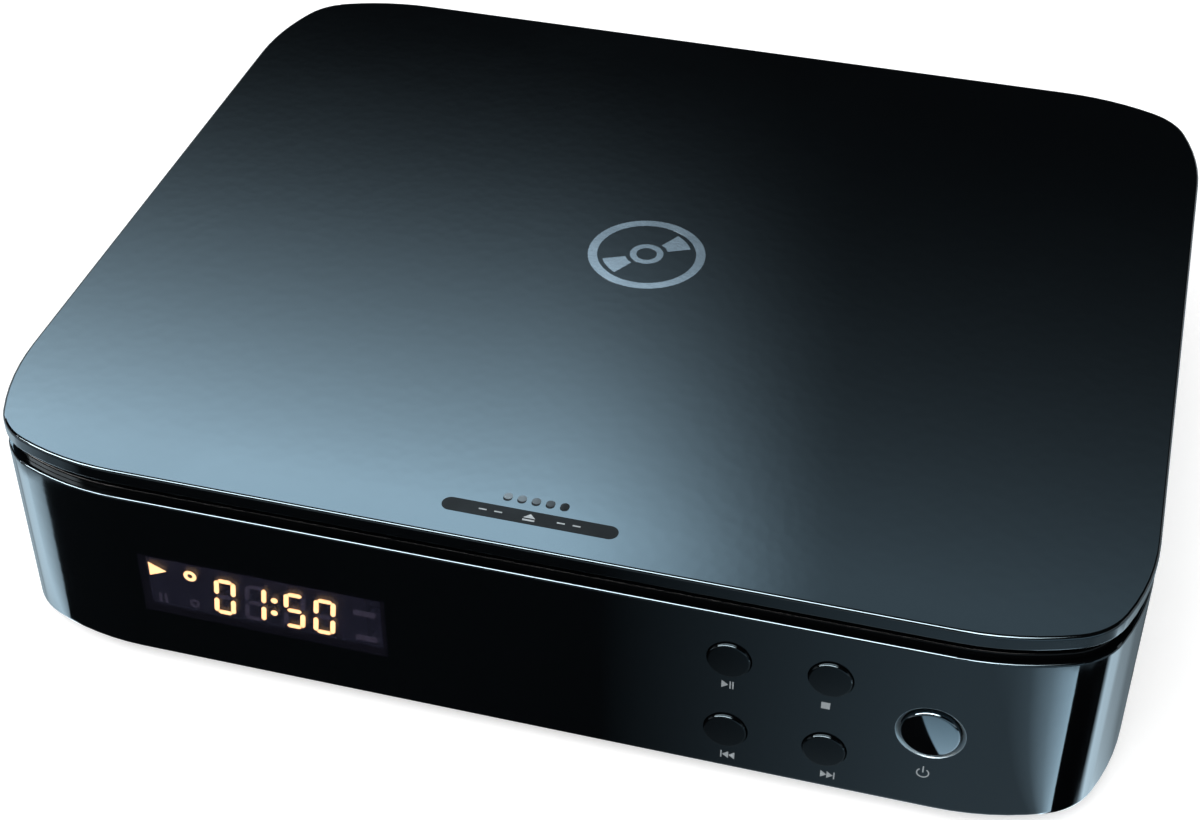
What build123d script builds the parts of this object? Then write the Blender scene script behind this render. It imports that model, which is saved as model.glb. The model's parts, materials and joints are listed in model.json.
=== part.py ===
from build123d import *
from math import acos, ceil, cos, pi, radians, sin, tan
import os

# A compact top-loading disc player: a gloss casing whose whole top is a lid on a rear hinge.
# Millimetres. The origin is the centre of the footprint on the floor, the front faces -Y.
# An "inset" is a distance inwards from the casing's outline.

os.makedirs("parts", exist_ok=True)

BOTTOM = (Align.CENTER, Align.CENTER, Align.MIN)

# ---------------------------------------------------------------------------------------------
# Driving dimensions
# ---------------------------------------------------------------------------------------------
WIDTH = 225.0              # casing, left to right
DEPTH = 186.7              # casing, front to back
CORNER_REACH = 32.5        # how far each squarish corner reaches along the sides
CORNER_SHOULDER = 54.1     # large radius where a corner leaves the straight side

FOOT_HEIGHT = 3.0
BODY_HEIGHT = 40.6         # housing wall
GROOVE = 3.6               # dark gap between housing and lid
LID_RIM = 3.1              # visible edge of the lid
WALL = 2.2                 # housing wall
PLATE = 2.0                # base plate and deck
LID_SKIN = 1.7             # top wall of the lid cover
LINER = 2.2                # lid liner
FIT = 0.1                  # gap between fixed pieces that drop into each other
RUNNING = 0.05             # radial gap of shafts in their bores
SLIDE_GAP = 0.2            # gap round pieces that slide in a hole
BUTTON_PROUD = 0.9         # buttons in front and supply collar behind stand this far out

FLOOR_Z = FOOT_HEIGHT
BODY_TOP = FOOT_HEIGHT + BODY_HEIGHT
LID_BOTTOM = BODY_TOP + GROOVE
LID_TOP = LID_BOTTOM + LID_RIM
BASE_TOP = FLOOR_Z + PLATE
FRONT = -DEPTH / 2
REAR = DEPTH / 2
LEFT = -WIDTH / 2
RIGHT = WIDTH / 2
FRONT_INSIDE = FRONT + WALL
REAR_INSIDE = REAR - WALL
RIGHT_INSIDE = RIGHT - WALL

# Rounded edges
HOUSING_ROUND = 0.5
BASE_ROUND = 1.2
LID_ROUND = 0.7
SMALL_ROUND = 0.4          # lip, lid underside, lens, supply collar
SOFT_ROUND = 0.8           # rubber pieces and motors

# Screws: those of the casing and those of the boards, liner and drive
SCREW_RADIUS = 1.25
SCREW_HEAD = 2.8
SCREW_HEAD_DEPTH = 1.5
SMALL_SCREW = 0.9
SMALL_HEAD = 1.8
SMALL_HEAD_DEPTH = 1.0

# Deck with the disc well
LEDGE = 1.4                # housing edge left showing round the deck
LIP_WIDTH = 1.4            # raised lip round the deck
LIP_HEIGHT = 1.4
DECK_BOTTOM = BODY_TOP - PLATE
DISC_INSET = 89.35         # spindle from the front
DISC_Y = FRONT + DISC_INSET
WELL_RADIUS = 62.0
WELL_DEPTH = 4.6
WELL_WALL = 1.5
SCOOP_RADIUS = 14.0        # finger scoops either side of the disc
SCOOP_X = 58.0
WELL_FLOOR = BODY_TOP - WELL_DEPTH
WELL_UNDER = WELL_FLOOR - WELL_WALL

# Corner bosses that take the base and deck screws
BOSS_INSET = 11.8
BOSS_RADIUS = 5.2
BASE_SCREW = 14.0
DECK_SCREW = 12.0
CORNERS = [(x, y) for x in (LEFT + BOSS_INSET, RIGHT - BOSS_INSET)
           for y in (FRONT + BOSS_INSET, REAR - BOSS_INSET)]

# Front panel
WINDOW_INSET = 60.3        # window centre from the left side
WINDOW_X = LEFT + WINDOW_INSET
WINDOW_Z = 22.3
WINDOW_WIDTH = 50.8
WINDOW_HEIGHT = 15.0
WINDOW_THICKNESS = 1.6
WINDOW_FLANGE = 1.2
KEY_RADIUS = 4.1
KEY_INSETS = (72.4, 53.6)  # key centres from the right side
KEY_X = (RIGHT - KEY_INSETS[0], RIGHT - KEY_INSETS[1])
KEY_Z = (32.45, 13.7)
POWER_INSET = 34.7
POWER_X = RIGHT - POWER_INSET
POWER_Z = 23.5
POWER_RADIUS = 5.5
RING_RADIUS = 6.5
RING_SINK = 0.8            # rim of the power button behind its ring
RING_BEVEL = 0.55
KEY_TRAVEL = 0.6
KEY_FLANGE = 1.0           # collar behind the wall that keeps a button in
KEY_STEM = 2.3
DOME_FALL = 0.3            # part of a dome's drop reached at DOME_REACH of its radius
DOME_REACH = 0.55
COLLAR_GAP = 0.3           # clears the wall where it starts to curve

# Upright boards behind the front panel
BOARD = 1.6                # thickness of every circuit board
PANEL_ROOM = 7.65          # from the wall to the boards' front face
KEY_BOARD_Y = FRONT_INSIDE + PANEL_ROOM
KEY_BOARD_BACK = KEY_BOARD_Y + BOARD
SWITCH_DEPTH = 3.4
SWITCH_SIDE = 6.0
PLUNGER_RADIUS = 1.7
PLUNGER = 1.2
KEY_BOARD_X = (KEY_X[0] - 16.1, POWER_X + 17.2)
DISPLAY_SPARE = 8.5        # display board past each end of the window
DISPLAY_HALF = WINDOW_WIDTH / 2 + DISPLAY_SPARE
DISPLAY_BOARD_X = (WINDOW_X - DISPLAY_HALF, WINDOW_X + DISPLAY_HALF)
BOARD_TOP = 39.0
RECEIVER = 4.4             # width of the infrared receiver
RECEIVER_GAP = 1.0         # receiver's dome behind the wall, and the dome's own rise
PANEL_SCREW = 8.0
POST_RADIUS = 2.5
POST_SKIN = 1.0            # wall left in front of a post's screw hole
POST_EDGE = 3.5            # post centre from the end of the display board
POST_LOW_Z = 12.0
DISPLAY_POSTS = [(x, POST_LOW_Z) for x in (DISPLAY_BOARD_X[0] + POST_EDGE, DISPLAY_BOARD_X[1] - POST_EDGE)]
KEY_POSTS = [(KEY_BOARD_X[0] + 5.0, POWER_Z), (KEY_BOARD_X[1] - 3.0, POST_LOW_Z)]

# Hinge
HINGE_INSET = 47.5         # arm centre from the casing's side
HINGE_BACK = 6.35          # pin from the rear
HINGE_X = RIGHT - HINGE_INSET
HINGE_Y = REAR - HINGE_BACK
HINGE_Z = 38.0
KNUCKLE_RADIUS = 3.5
PIN_RADIUS = 1.25
ARM_WIDTH = 10.0
ARM_THICKNESS = 5.0
ARM_REACH = 13.0           # how far forward of the pin the arm rises to the lid
ARM_FRONT = HINGE_Y - ARM_REACH
ARM_PAD = 6.0
ARM_PAD_THICKNESS = 2.0
ARM_GAP = 1.0              # between an arm and its outer ear
ARM_FRONT_GAP = 0.8
EAR = 2.5
SPRING_ROOM = 4.6          # room on the pin between arm and ear for the lid spring
SPRING_WIRE = 0.3
SPRING_TURNS = 3
SPRING_GAP = 0.3
SPRING_LEG = 4.0

# Lid details
LINER_TOP = LID_TOP - LID_SKIN
LINER_BOTTOM = LINER_TOP - LINER
LINER_INSET = 4.5
LINER_REAR = HINGE_Y - 3.5
LINER_BITE = 1.0           # how far the liner screws bite into the cover
HUB_DISH = 1.0             # depth of the liner's dish over the hub
FIXING_INSET = 16.5
FIXING_X = (LEFT + FIXING_INSET, 0.0, RIGHT - FIXING_INSET)
FIXING_Y = (FRONT + 30.0, REAR - 27.0)
LINER_FIXINGS = [(x, y) for x in FIXING_X for y in FIXING_Y]
DOT_INSET = 13.05
DOT_PITCH = 2.74
DOT_COUNT = 5
DOT_RADIUS = 0.85
DOT_DEPTH = 0.4
BUMPER_INSET = 32.5
BUMPER_X = RIGHT - BUMPER_INSET
BUMPER_RADIUS = 3.0

# Lid latch
LATCH_INSET = 11.35
LATCH_Y = FRONT + LATCH_INSET
LATCH_HALF = 6.5
LATCH_WALL = 1.4
LATCH_FLOOR_Z = 24.0
LATCH_COIL = 2.6
LATCH_WIRE = 0.25
LATCH_TURNS = 4
SLIDER_LOW = 30.0
SLIDER_HIGH = 38.5
SLIDER_FLOOR = 2.0
STRIKER_TIP_Z = 35.5
STRIKER_HALF = 1.5
STRIKER_BARB = 1.5         # height of the barbed tip
STRIKER_GAP = 0.6          # round the tip in the slider
STRIKER_FOOT = 2.0
STRIKER_ROOM = 2.5         # round the striker in the deck

# Disc drive
CHASSIS_Z = 27.0
CHASSIS_SHEET = 1.2
CHASSIS_TOP = CHASSIS_Z + CHASSIS_SHEET
CHASSIS_X = (-24.0, 88.0)
CHASSIS_Y = (DISC_Y - 38.0, DISC_Y + 34.0)
CHASSIS_LAND = 3.0         # sheet left round its window
MOUNT_INSET = 6.0
TURNTABLE_TOP = 41.0
TURNTABLE_RADIUS = 13.0
TURNTABLE_SHEET = 1.3
TURNTABLE_ROOM = 2.0       # round the turntable in the deck and the liner
PAD_THICKNESS = 0.3
PAD_INNER = 9.1
PAD_EDGE = 0.3
SPINDLE_MOTOR_RADIUS = 11.5
SPINDLE_SHAFT = 1.0
SPINDLE_FLOOR = 1.0        # motor wall under its shaft
ROD_Y = 20.0               # guide rods, either side of the spindle
ROD_Z = 33.0
ROD_RADIUS = 1.5
LENS_IN = 24.0             # lens radius on the disc with the sled home
LENS_TRAVEL = 34.0
LENS_ROOM = 8.0            # pickup slot past the lens at the end of its travel
LENS_SLOT_HALF = 12.0
SLED_TOP = 37.0
LENS_TOP = 39.8
LENS_RIM = 0.6
GROMMET_LIP = 1.6
GROMMET_RADIUS = 4.0
GROMMET_NECK = 3.0
GROMMET_BORE = 1.3
HANGER_RADIUS = 3.5        # posts that the drive hangs from
HANGER_BITE = 1.5          # screw ends this far below the well's underside
MOTOR_TOP = 36.0
MOTOR_NOSE = 3.0
FEED_MOTOR_RADIUS = 6.0
FEED_MOTOR_Z = 15.0
FEED_MOTOR_FLOOR = 3.0
FEED_SHAFT = 0.75
HUB_RADIUS = 7.3
HUB_TOP = 44.3
HUB_TAPER = (1.6, 1.2)
HUB_DIMPLE = (1.5, 0.8)
BALL_RADIUS = 1.2
BALL_PLACE = 6.7
BALL_Z = 42.9
ROD_BLOCK = 4.0
ROD_BLOCK_HALF = 2.6
SLED_END_GAP = 1.0         # between sled and rod block at each end of its travel
SLED_INNER = 10.0
SLED_OUTER = 12.0
SLED_WING = 3.0
SLED_HOOK = 4.0
SLED_LOW = 30.6
COVER_HALF = 7.0
COVER_LENGTH = 18.0
COVER_RISE = 1.8
COVER_CORNER = 2.0
LENS_RADIUS = 2.2
LENS_BEZEL = 1.0

# Feed gears: motor pinion, two-step idler, rack
MODULE = 0.5
PINION_TEETH = 10
WHEEL_TEETH = 36
SMALL_TEETH = 12
PRESSURE = radians(20)
ADDENDUM = 0.6 * MODULE
DEDENDUM = 0.8 * MODULE
TOOTH_SLACK = 0.05
IDLER_X = LENS_IN + LENS_TRAVEL / 2
RACK_PLACE = 26.0          # pitch line of the rack, in front of the spindle
RACK_Y = DISC_Y - RACK_PLACE
PITCH = pi * MODULE
IDLER_Y = RACK_Y - SMALL_TEETH * MODULE / 2
PINION_X = IDLER_X - (WHEEL_TEETH + PINION_TEETH) * MODULE / 2
GEAR_LOW = 28.5
GEAR_FACE = 1.7
RACK_LOW = 31.0
RACK_HIGH = 34.0
RACK_LEAD = 2              # teeth of the rack past the idler at each end of its travel
IDLER_PIN = 1.0
PIN_HEAD = 0.8             # how far the pin's head and foot stand out, and the head's height

# Main board and the sockets behind
MAIN_BOARD_Z = 10.0
MAIN_TOP = MAIN_BOARD_Z + BOARD
MAIN_X = (LEFT + 32.5, RIGHT - 24.5)
MAIN_Y = (-14.0, REAR - 10.55)
MAIN_POST_INSET = 6.0
MAIN_POSTS = [(x, y) for x in (MAIN_X[0] + MAIN_POST_INSET, MAIN_X[1] - MAIN_POST_INSET)
              for y in (MAIN_Y[0] + MAIN_POST_INSET, MAIN_Y[1] - MAIN_POST_INSET)]
STAND_RADIUS = 3.0
BOARD_SCREW = 5.0
SHELL = 0.4                # sheet metal of the sockets
SOCKET_FLOOR = 2.0         # depth of solid behind each socket's hollow
JACK_INSET = 67.5
JACK_X = LEFT + JACK_INSET
JACK_Z = 18.6
JACK_PITCH = 14.0
JACK_PLACES = [JACK_X + step * JACK_PITCH for step in (-1, 0, 1)]
JACK_RADIUS = 4.2
JACK_BLOCK = 10.0
JACK_PIN_HOLE = 1.6
JACK_SHY = 0.5             # barrel's mouth inside the rear face
INSERT_SHY = 0.3           # coloured insert inside the barrel's mouth
BAY_DEPTH = 8.5
BAY_WALL = 1.6
BAY_WIDTH = 46.0
BAY_HEIGHT = 16.0
BAY_X = (JACK_X - BAY_WIDTH / 2, JACK_X + BAY_WIDTH / 2)
BAY_Z = (JACK_Z - BAY_HEIGHT / 2, JACK_Z + BAY_HEIGHT / 2)
BAY_FLOOR = REAR - BAY_DEPTH
JACK_FACE = BAY_FLOOR - BAY_WALL
JACK_BACK = JACK_FACE - JACK_BLOCK + SOCKET_FLOOR
HDMI_X = 15.0
HDMI_WIDTH = 14.5
HDMI_HEIGHT = 5.6
HDMI_Z = MAIN_TOP + HDMI_HEIGHT / 2
HDMI_BACK = REAR - 13.35
HDMI_CORNER = 0.8
HDMI_TONGUE = (10.5, 1.0)  # width and thickness
DC_INSET = 40.5
DC_X = RIGHT - DC_INSET
DC_RADIUS = 4.0
DC_Z = MAIN_TOP + 5.5
DC_BODY = 4.5
DC_BACK = REAR - 14.35
DC_BORE = 2.9
DC_PIN = 1.0
TONGUE_SHY = 1.0           # contacts inside their socket's mouth

# Side board and the sockets in the right side
SIDE_BOARD_X = (RIGHT - 25.5, RIGHT - 4.5)
SIDE_BOARD_Z = 19.3
SIDE_TOP = SIDE_BOARD_Z + BOARD
CARD_INSET = 24.75
CARD_WIDTH = 26.0
CARD_Y = (FRONT + CARD_INSET, FRONT + CARD_INSET + CARD_WIDTH)
CARD_Z = 22.7
CARD_SLOT = 2.6
CARD_BACK = RIGHT - 26.0
CARD_GAP = 0.8             # clears the wall where it starts to curve
SIDE_SCREW_ROOM = 3.6      # from the card socket to the middle of the screw beside it
SIDE_SCREW_Y = CARD_Y[1] + SIDE_SCREW_ROOM
USB_ROOM = 3.45            # from the middle of that screw to the bus socket
USB_WIDTH = 13.1
USB_Y = SIDE_SCREW_Y + USB_ROOM + USB_WIDTH / 2
USB_HEIGHT = 5.7
USB_Z = SIDE_TOP + USB_HEIGHT / 2
USB_BACK = RIGHT - 15.5
USB_TONGUE = 1.7
USB_TONGUE_DROP = 0.9      # tongue below the top of its shell
USB_TONGUE_SIDE = 1.2
SIDE_BOARD_Y = (CARD_Y[0] - 6.4, USB_Y + USB_WIDTH / 2 + 2.45)
SIDE_POSTS = [
    (SIDE_BOARD_X[0] + 3.5, SIDE_BOARD_Y[0] + 2.5),
    (SIDE_BOARD_X[1] - 10.0, SIDE_SCREW_Y),
]

# Parts on the main board
CHIP_X = 5.0
CHIP_Y = 40.0
CHIP_SIDE = 20.0
CHIP_HEIGHT = 1.4
SINK_SIDE = 26.0
SINK_BASE = 2.0
SINK_RISE = 5.0
SINK_FIN = 1.2
SINK_FINS = 7
CAPACITOR_LEFT = MAIN_X[0] + 20.0
CAPACITOR_RIGHT = MAIN_X[1] - 30.0
CAPACITORS = [                          # x, y, radius, height
    (CAPACITOR_LEFT, 30.0, 4.0, 11.0),
    (CAPACITOR_LEFT, 42.0, 4.0, 11.0),
    (CAPACITOR_RIGHT, 44.0, 5.0, 12.0),
    (CAPACITOR_RIGHT, 60.0, 4.0, 11.0),
]

# Base
FOOT_RADIUS = 7.0
FOOT_STUD = 2.0
FOOT_BARB = (0.6, 1.6)     # overhang and height of the stud's barb
FOOT_INSET = 28.0
FEET = [(x, y) for x in (LEFT + FOOT_INSET, RIGHT - FOOT_INSET)
        for y in (FRONT + FOOT_INSET, REAR - FOOT_INSET)]
VENT_COUNT = 9
VENT_PITCH = 9.0
VENT_LENGTH = 34.0
VENT_WIDTH = 3.0
VENT_Y = 20.0


# ---------------------------------------------------------------------------------------------
# Shared shapes
# ---------------------------------------------------------------------------------------------
def casing_outline(inset):
    """Fill the running sketch with the casing outline, drawn in by inset."""
    lean = cos(radians(22.5)) - sin(radians(22.5))
    nose = CORNER_SHOULDER - (CORNER_SHOULDER - CORNER_REACH) / lean
    nose_centre = CORNER_REACH - (CORNER_SHOULDER - nose) * sin(radians(22.5))
    half_w = WIDTH / 2
    half_d = DEPTH / 2
    straight_x = half_w - CORNER_REACH
    straight_y = half_d - CORNER_REACH
    with BuildLine() as outline:
        for side in (-1, 1):
            Line((side * (half_w - inset), -straight_y), (side * (half_w - inset), straight_y))
            Line((-straight_x, side * (half_d - inset)), (straight_x, side * (half_d - inset)))
        for quarter, (sx, sy) in enumerate(((1, 1), (-1, 1), (-1, -1), (1, -1))):
            by_side = (sx * (half_w - CORNER_SHOULDER), sy * straight_y)
            by_end = (sx * straight_x, sy * (half_d - CORNER_SHOULDER))
            first, last = (by_side, by_end) if quarter % 2 == 0 else (by_end, by_side)
            middle = (sx * (half_w - nose_centre), sy * (half_d - nose_centre))
            start = 90 * quarter
            CenterArc(first, CORNER_SHOULDER - inset, start, 22.5)
            CenterArc(middle, nose - inset, start + 22.5, 45)
            CenterArc(last, CORNER_SHOULDER - inset, start + 67.5, 22.5)
    make_face(outline.edges())


def well_outline(grow):
    """Disc well with a finger scoop on each side."""
    with Locations((0, DISC_Y)):
        Circle(WELL_RADIUS + grow)
    with Locations((-SCOOP_X, DISC_Y), (SCOOP_X, DISC_Y)):
        Circle(SCOOP_RADIUS + grow)


def involute(angle):
    return tan(angle) - angle


def gear_outline(teeth, first_tooth):
    """Stub involute gear, with one tooth centred on the angle first_tooth in degrees."""
    pitch_radius = teeth * MODULE / 2
    base = pitch_radius * cos(PRESSURE)
    root = pitch_radius - DEDENDUM
    tip = pitch_radius + ADDENDUM
    half_pitch = (PITCH / 2 - TOOTH_SLACK) / (2 * pitch_radius) + involute(PRESSURE)
    flank = []
    for radius in (root - TOOTH_SLACK, max(root, base), pitch_radius, (pitch_radius + tip) / 2, tip):
        lean = acos(min(1.0, base / radius))
        flank.append((radius, half_pitch - involute(lean)))
    upper = [(radius * cos(a), radius * sin(a)) for radius, a in flank]
    lower = [(x, -y) for x, y in reversed(upper)]
    Circle(root)
    with PolarLocations(0, teeth, start_angle=first_tooth):
        Polygon(*upper, *lower, align=None)


def round_post(x, y, low, high, radius, mode=Mode.ADD):
    """Upright round post, or hole, between two heights."""
    with Locations((x, y, low)):
        Cylinder(radius, high - low, align=BOTTOM, mode=mode)


def block(x, y, z, mode=Mode.ADD):
    """Box given by its low and high limits along each axis."""
    with Locations(((x[0] + x[1]) / 2, (y[0] + y[1]) / 2, (z[0] + z[1]) / 2)):
        Box(x[1] - x[0], y[1] - y[0], z[1] - z[0], mode=mode)


def front_disc(x, z, front, back, radius, mode=Mode.ADD):
    """Round disc or hole lying across the front wall, between two depths."""
    with BuildSketch(Plane.XZ.offset(-front)) as face:
        with Locations((x, z)):
            Circle(radius)
    extrude(face.sketch, amount=front - back, mode=mode)


def flat_head(x, y, seat, length, radius, head, head_depth, mode=Mode.ADD):
    """Countersunk screw, or its hole, from its head face at seat; a negative length points down."""
    way = 1 if length > 0 else -1
    with BuildSketch(Plane(origin=(x, y, seat), x_dir=(1, 0, 0), z_dir=(0, -1, 0))) as profile:
        with BuildLine():
            Polyline(
                (0, 0),
                (head, 0),
                (radius, way * head_depth),
                (radius, length),
                (0, length),
                close=True,
            )
        make_face()
    revolve(profile.sketch, axis=Axis((x, y, 0), (0, 0, 1)), mode=mode)


# ---------------------------------------------------------------------------------------------
# Housing
# ---------------------------------------------------------------------------------------------
with BuildPart() as main_housing:
    with BuildSketch(Plane.XY.offset(FLOOR_Z)):
        casing_outline(0)
    extrude(amount=BODY_HEIGHT)
    fillet(main_housing.edges().group_by(Axis.Z)[-1], HOUSING_ROUND)
    fillet(main_housing.edges().group_by(Axis.Z)[0], BASE_ROUND)
    with BuildSketch(Plane.XY.offset(FLOOR_Z)):
        casing_outline(WALL)
    extrude(amount=BODY_HEIGHT, mode=Mode.SUBTRACT)
    with BuildSketch(Plane.XY.offset(DECK_BOTTOM)):
        casing_outline(LEDGE)
    extrude(amount=PLATE, mode=Mode.SUBTRACT)
    for x, y in CORNERS:
        round_post(x, y, BASE_TOP, DECK_BOTTOM, BOSS_RADIUS)
    # posts that carry the two upright boards
    for x, z in DISPLAY_POSTS + KEY_POSTS:
        front_disc(x, z, FRONT_INSIDE - FIT, KEY_BOARD_Y, POST_RADIUS)
        front_disc(x, z, FRONT_INSIDE + POST_SKIN, KEY_BOARD_Y, SMALL_SCREW, Mode.SUBTRACT)
    # sunk bay for the jacks in the rear wall
    block(
        (BAY_X[0] - BAY_WALL, BAY_X[1] + BAY_WALL),
        (JACK_FACE, REAR - WALL / 2),
        (BAY_Z[0] - BAY_WALL, BAY_Z[1] + BAY_WALL),
    )
    block(BAY_X, (BAY_FLOOR, REAR + WALL), BAY_Z, mode=Mode.SUBTRACT)
    # screw holes in the corner bosses
    for x, y in CORNERS:
        round_post(x, y, BASE_TOP, DECK_BOTTOM, SCREW_RADIUS, Mode.SUBTRACT)
    # display window, stepped so that the window lies flush
    with BuildSketch(Plane.XZ.offset(-FRONT)):
        with Locations((WINDOW_X, WINDOW_Z)):
            Rectangle(WINDOW_WIDTH, WINDOW_HEIGHT)
    extrude(amount=-WINDOW_THICKNESS, mode=Mode.SUBTRACT)
    with BuildSketch(Plane.XZ.offset(-FRONT)):
        with Locations((WINDOW_X, WINDOW_Z)):
            Rectangle(WINDOW_WIDTH - 2 * WINDOW_FLANGE, WINDOW_HEIGHT - 2 * WINDOW_FLANGE)
    extrude(amount=-WALL, mode=Mode.SUBTRACT)
    # button holes
    with BuildSketch(Plane.XZ.offset(-FRONT)):
        with Locations(*[(x, z) for x in KEY_X for z in KEY_Z]):
            Circle(KEY_RADIUS + SLIDE_GAP)
        with Locations((POWER_X, POWER_Z)):
            Circle(RING_RADIUS)
    extrude(amount=-WALL - COLLAR_GAP, mode=Mode.SUBTRACT)
    # jack, picture socket and supply holes in the rear wall
    with BuildSketch(Plane.XZ.offset(-REAR)):
        with Locations(*[(x, JACK_Z) for x in JACK_PLACES]):
            Circle(JACK_RADIUS + SLIDE_GAP)
    extrude(amount=BAY_DEPTH + BAY_WALL, mode=Mode.SUBTRACT)
    with BuildSketch(Plane.XZ.offset(-REAR)):
        with Locations((HDMI_X, HDMI_Z)):
            RectangleRounded(HDMI_WIDTH + 2 * SLIDE_GAP, HDMI_HEIGHT + 2 * SLIDE_GAP, HDMI_CORNER + SLIDE_GAP)
        with Locations((DC_X, DC_Z)):
            Circle(DC_RADIUS + SLIDE_GAP)
    extrude(amount=WALL, mode=Mode.SUBTRACT)
    # card slot and bus socket in the right wall
    with BuildSketch(Plane.YZ.offset(RIGHT)):
        with Locations(((CARD_Y[0] + CARD_Y[1]) / 2, CARD_Z)):
            Rectangle(CARD_WIDTH, CARD_SLOT)
        with Locations((USB_Y, USB_Z)):
            Rectangle(USB_WIDTH + 2 * SLIDE_GAP, USB_HEIGHT + 2 * SLIDE_GAP)
    extrude(amount=-WALL - CARD_GAP, mode=Mode.SUBTRACT)
main_housing.part.label = "main_housing"
export_step(main_housing.part, "parts/main_housing.step")

with BuildPart() as base_plate:
    with BuildSketch(Plane.XY.offset(FLOOR_Z)):
        casing_outline(WALL + FIT)
    extrude(amount=PLATE)
    # vents under the boards
    with BuildSketch(Plane.XY.offset(FLOOR_Z)):
        with GridLocations(VENT_PITCH, 0, VENT_COUNT, 1):
            with Locations((0, VENT_Y)):
                SlotOverall(VENT_LENGTH, VENT_WIDTH, rotation=90)
    extrude(amount=PLATE, mode=Mode.SUBTRACT)
    for x, y in MAIN_POSTS:
        round_post(x, y, BASE_TOP, MAIN_BOARD_Z, STAND_RADIUS)
    for x, y in SIDE_POSTS:
        round_post(x, y, BASE_TOP, SIDE_BOARD_Z, STAND_RADIUS)
    for x, y in MAIN_POSTS + SIDE_POSTS:
        round_post(x, y, BASE_TOP, SIDE_BOARD_Z, SMALL_SCREW, Mode.SUBTRACT)
    for x, y in CORNERS:
        flat_head(x, y, FLOOR_Z, PLATE, SCREW_RADIUS + FIT, SCREW_HEAD, SCREW_HEAD_DEPTH, Mode.SUBTRACT)
    for x, y in FEET:
        round_post(x, y, FLOOR_Z, BASE_TOP, FOOT_STUD, Mode.SUBTRACT)
base_plate.part.label = "base_plate"
export_step(base_plate.part, "parts/base_plate.step")

with BuildPart() as rubber_feet:
    for x, y in FEET:
        round_post(x, y, 0, FOOT_HEIGHT, FOOT_RADIUS)
    fillet(rubber_feet.edges().group_by(Axis.Z)[0], SOFT_ROUND)
    for x, y in FEET:
        round_post(x, y, FOOT_HEIGHT, BASE_TOP, FOOT_STUD)
        with Locations((x, y, BASE_TOP)):
            Cone(FOOT_STUD + FOOT_BARB[0], FOOT_STUD - FOOT_BARB[0], FOOT_BARB[1], align=BOTTOM)
rubber_feet.part.label = "rubber_feet"
export_step(rubber_feet.part, "parts/rubber_feet.step")

with BuildPart() as base_screws:
    for x, y in CORNERS:
        flat_head(x, y, FLOOR_Z, BASE_SCREW, SCREW_RADIUS - RUNNING, SCREW_HEAD, SCREW_HEAD_DEPTH)
base_screws.part.label = "base_screws"
export_step(base_screws.part, "parts/base_screws.step")

# ---------------------------------------------------------------------------------------------
# Deck
# ---------------------------------------------------------------------------------------------
chassis_mounts = [
    (CHASSIS_X[end] + (1 - 2 * end) * MOUNT_INSET, CHASSIS_Y[side] + (1 - 2 * side) * MOUNT_INSET)
    for end in (0, 1)
    for side in (0, 1)
]
deck_edge = LEDGE + FIT
slot_front = ARM_FRONT - ARM_FRONT_GAP
slot_rear = REAR - deck_edge - LIP_WIDTH
ear_in = HINGE_X - ARM_WIDTH / 2 - SPRING_ROOM
ear_out = HINGE_X + ARM_WIDTH / 2 + ARM_GAP
lens_reach = LENS_IN + LENS_TRAVEL + LENS_ROOM

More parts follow.
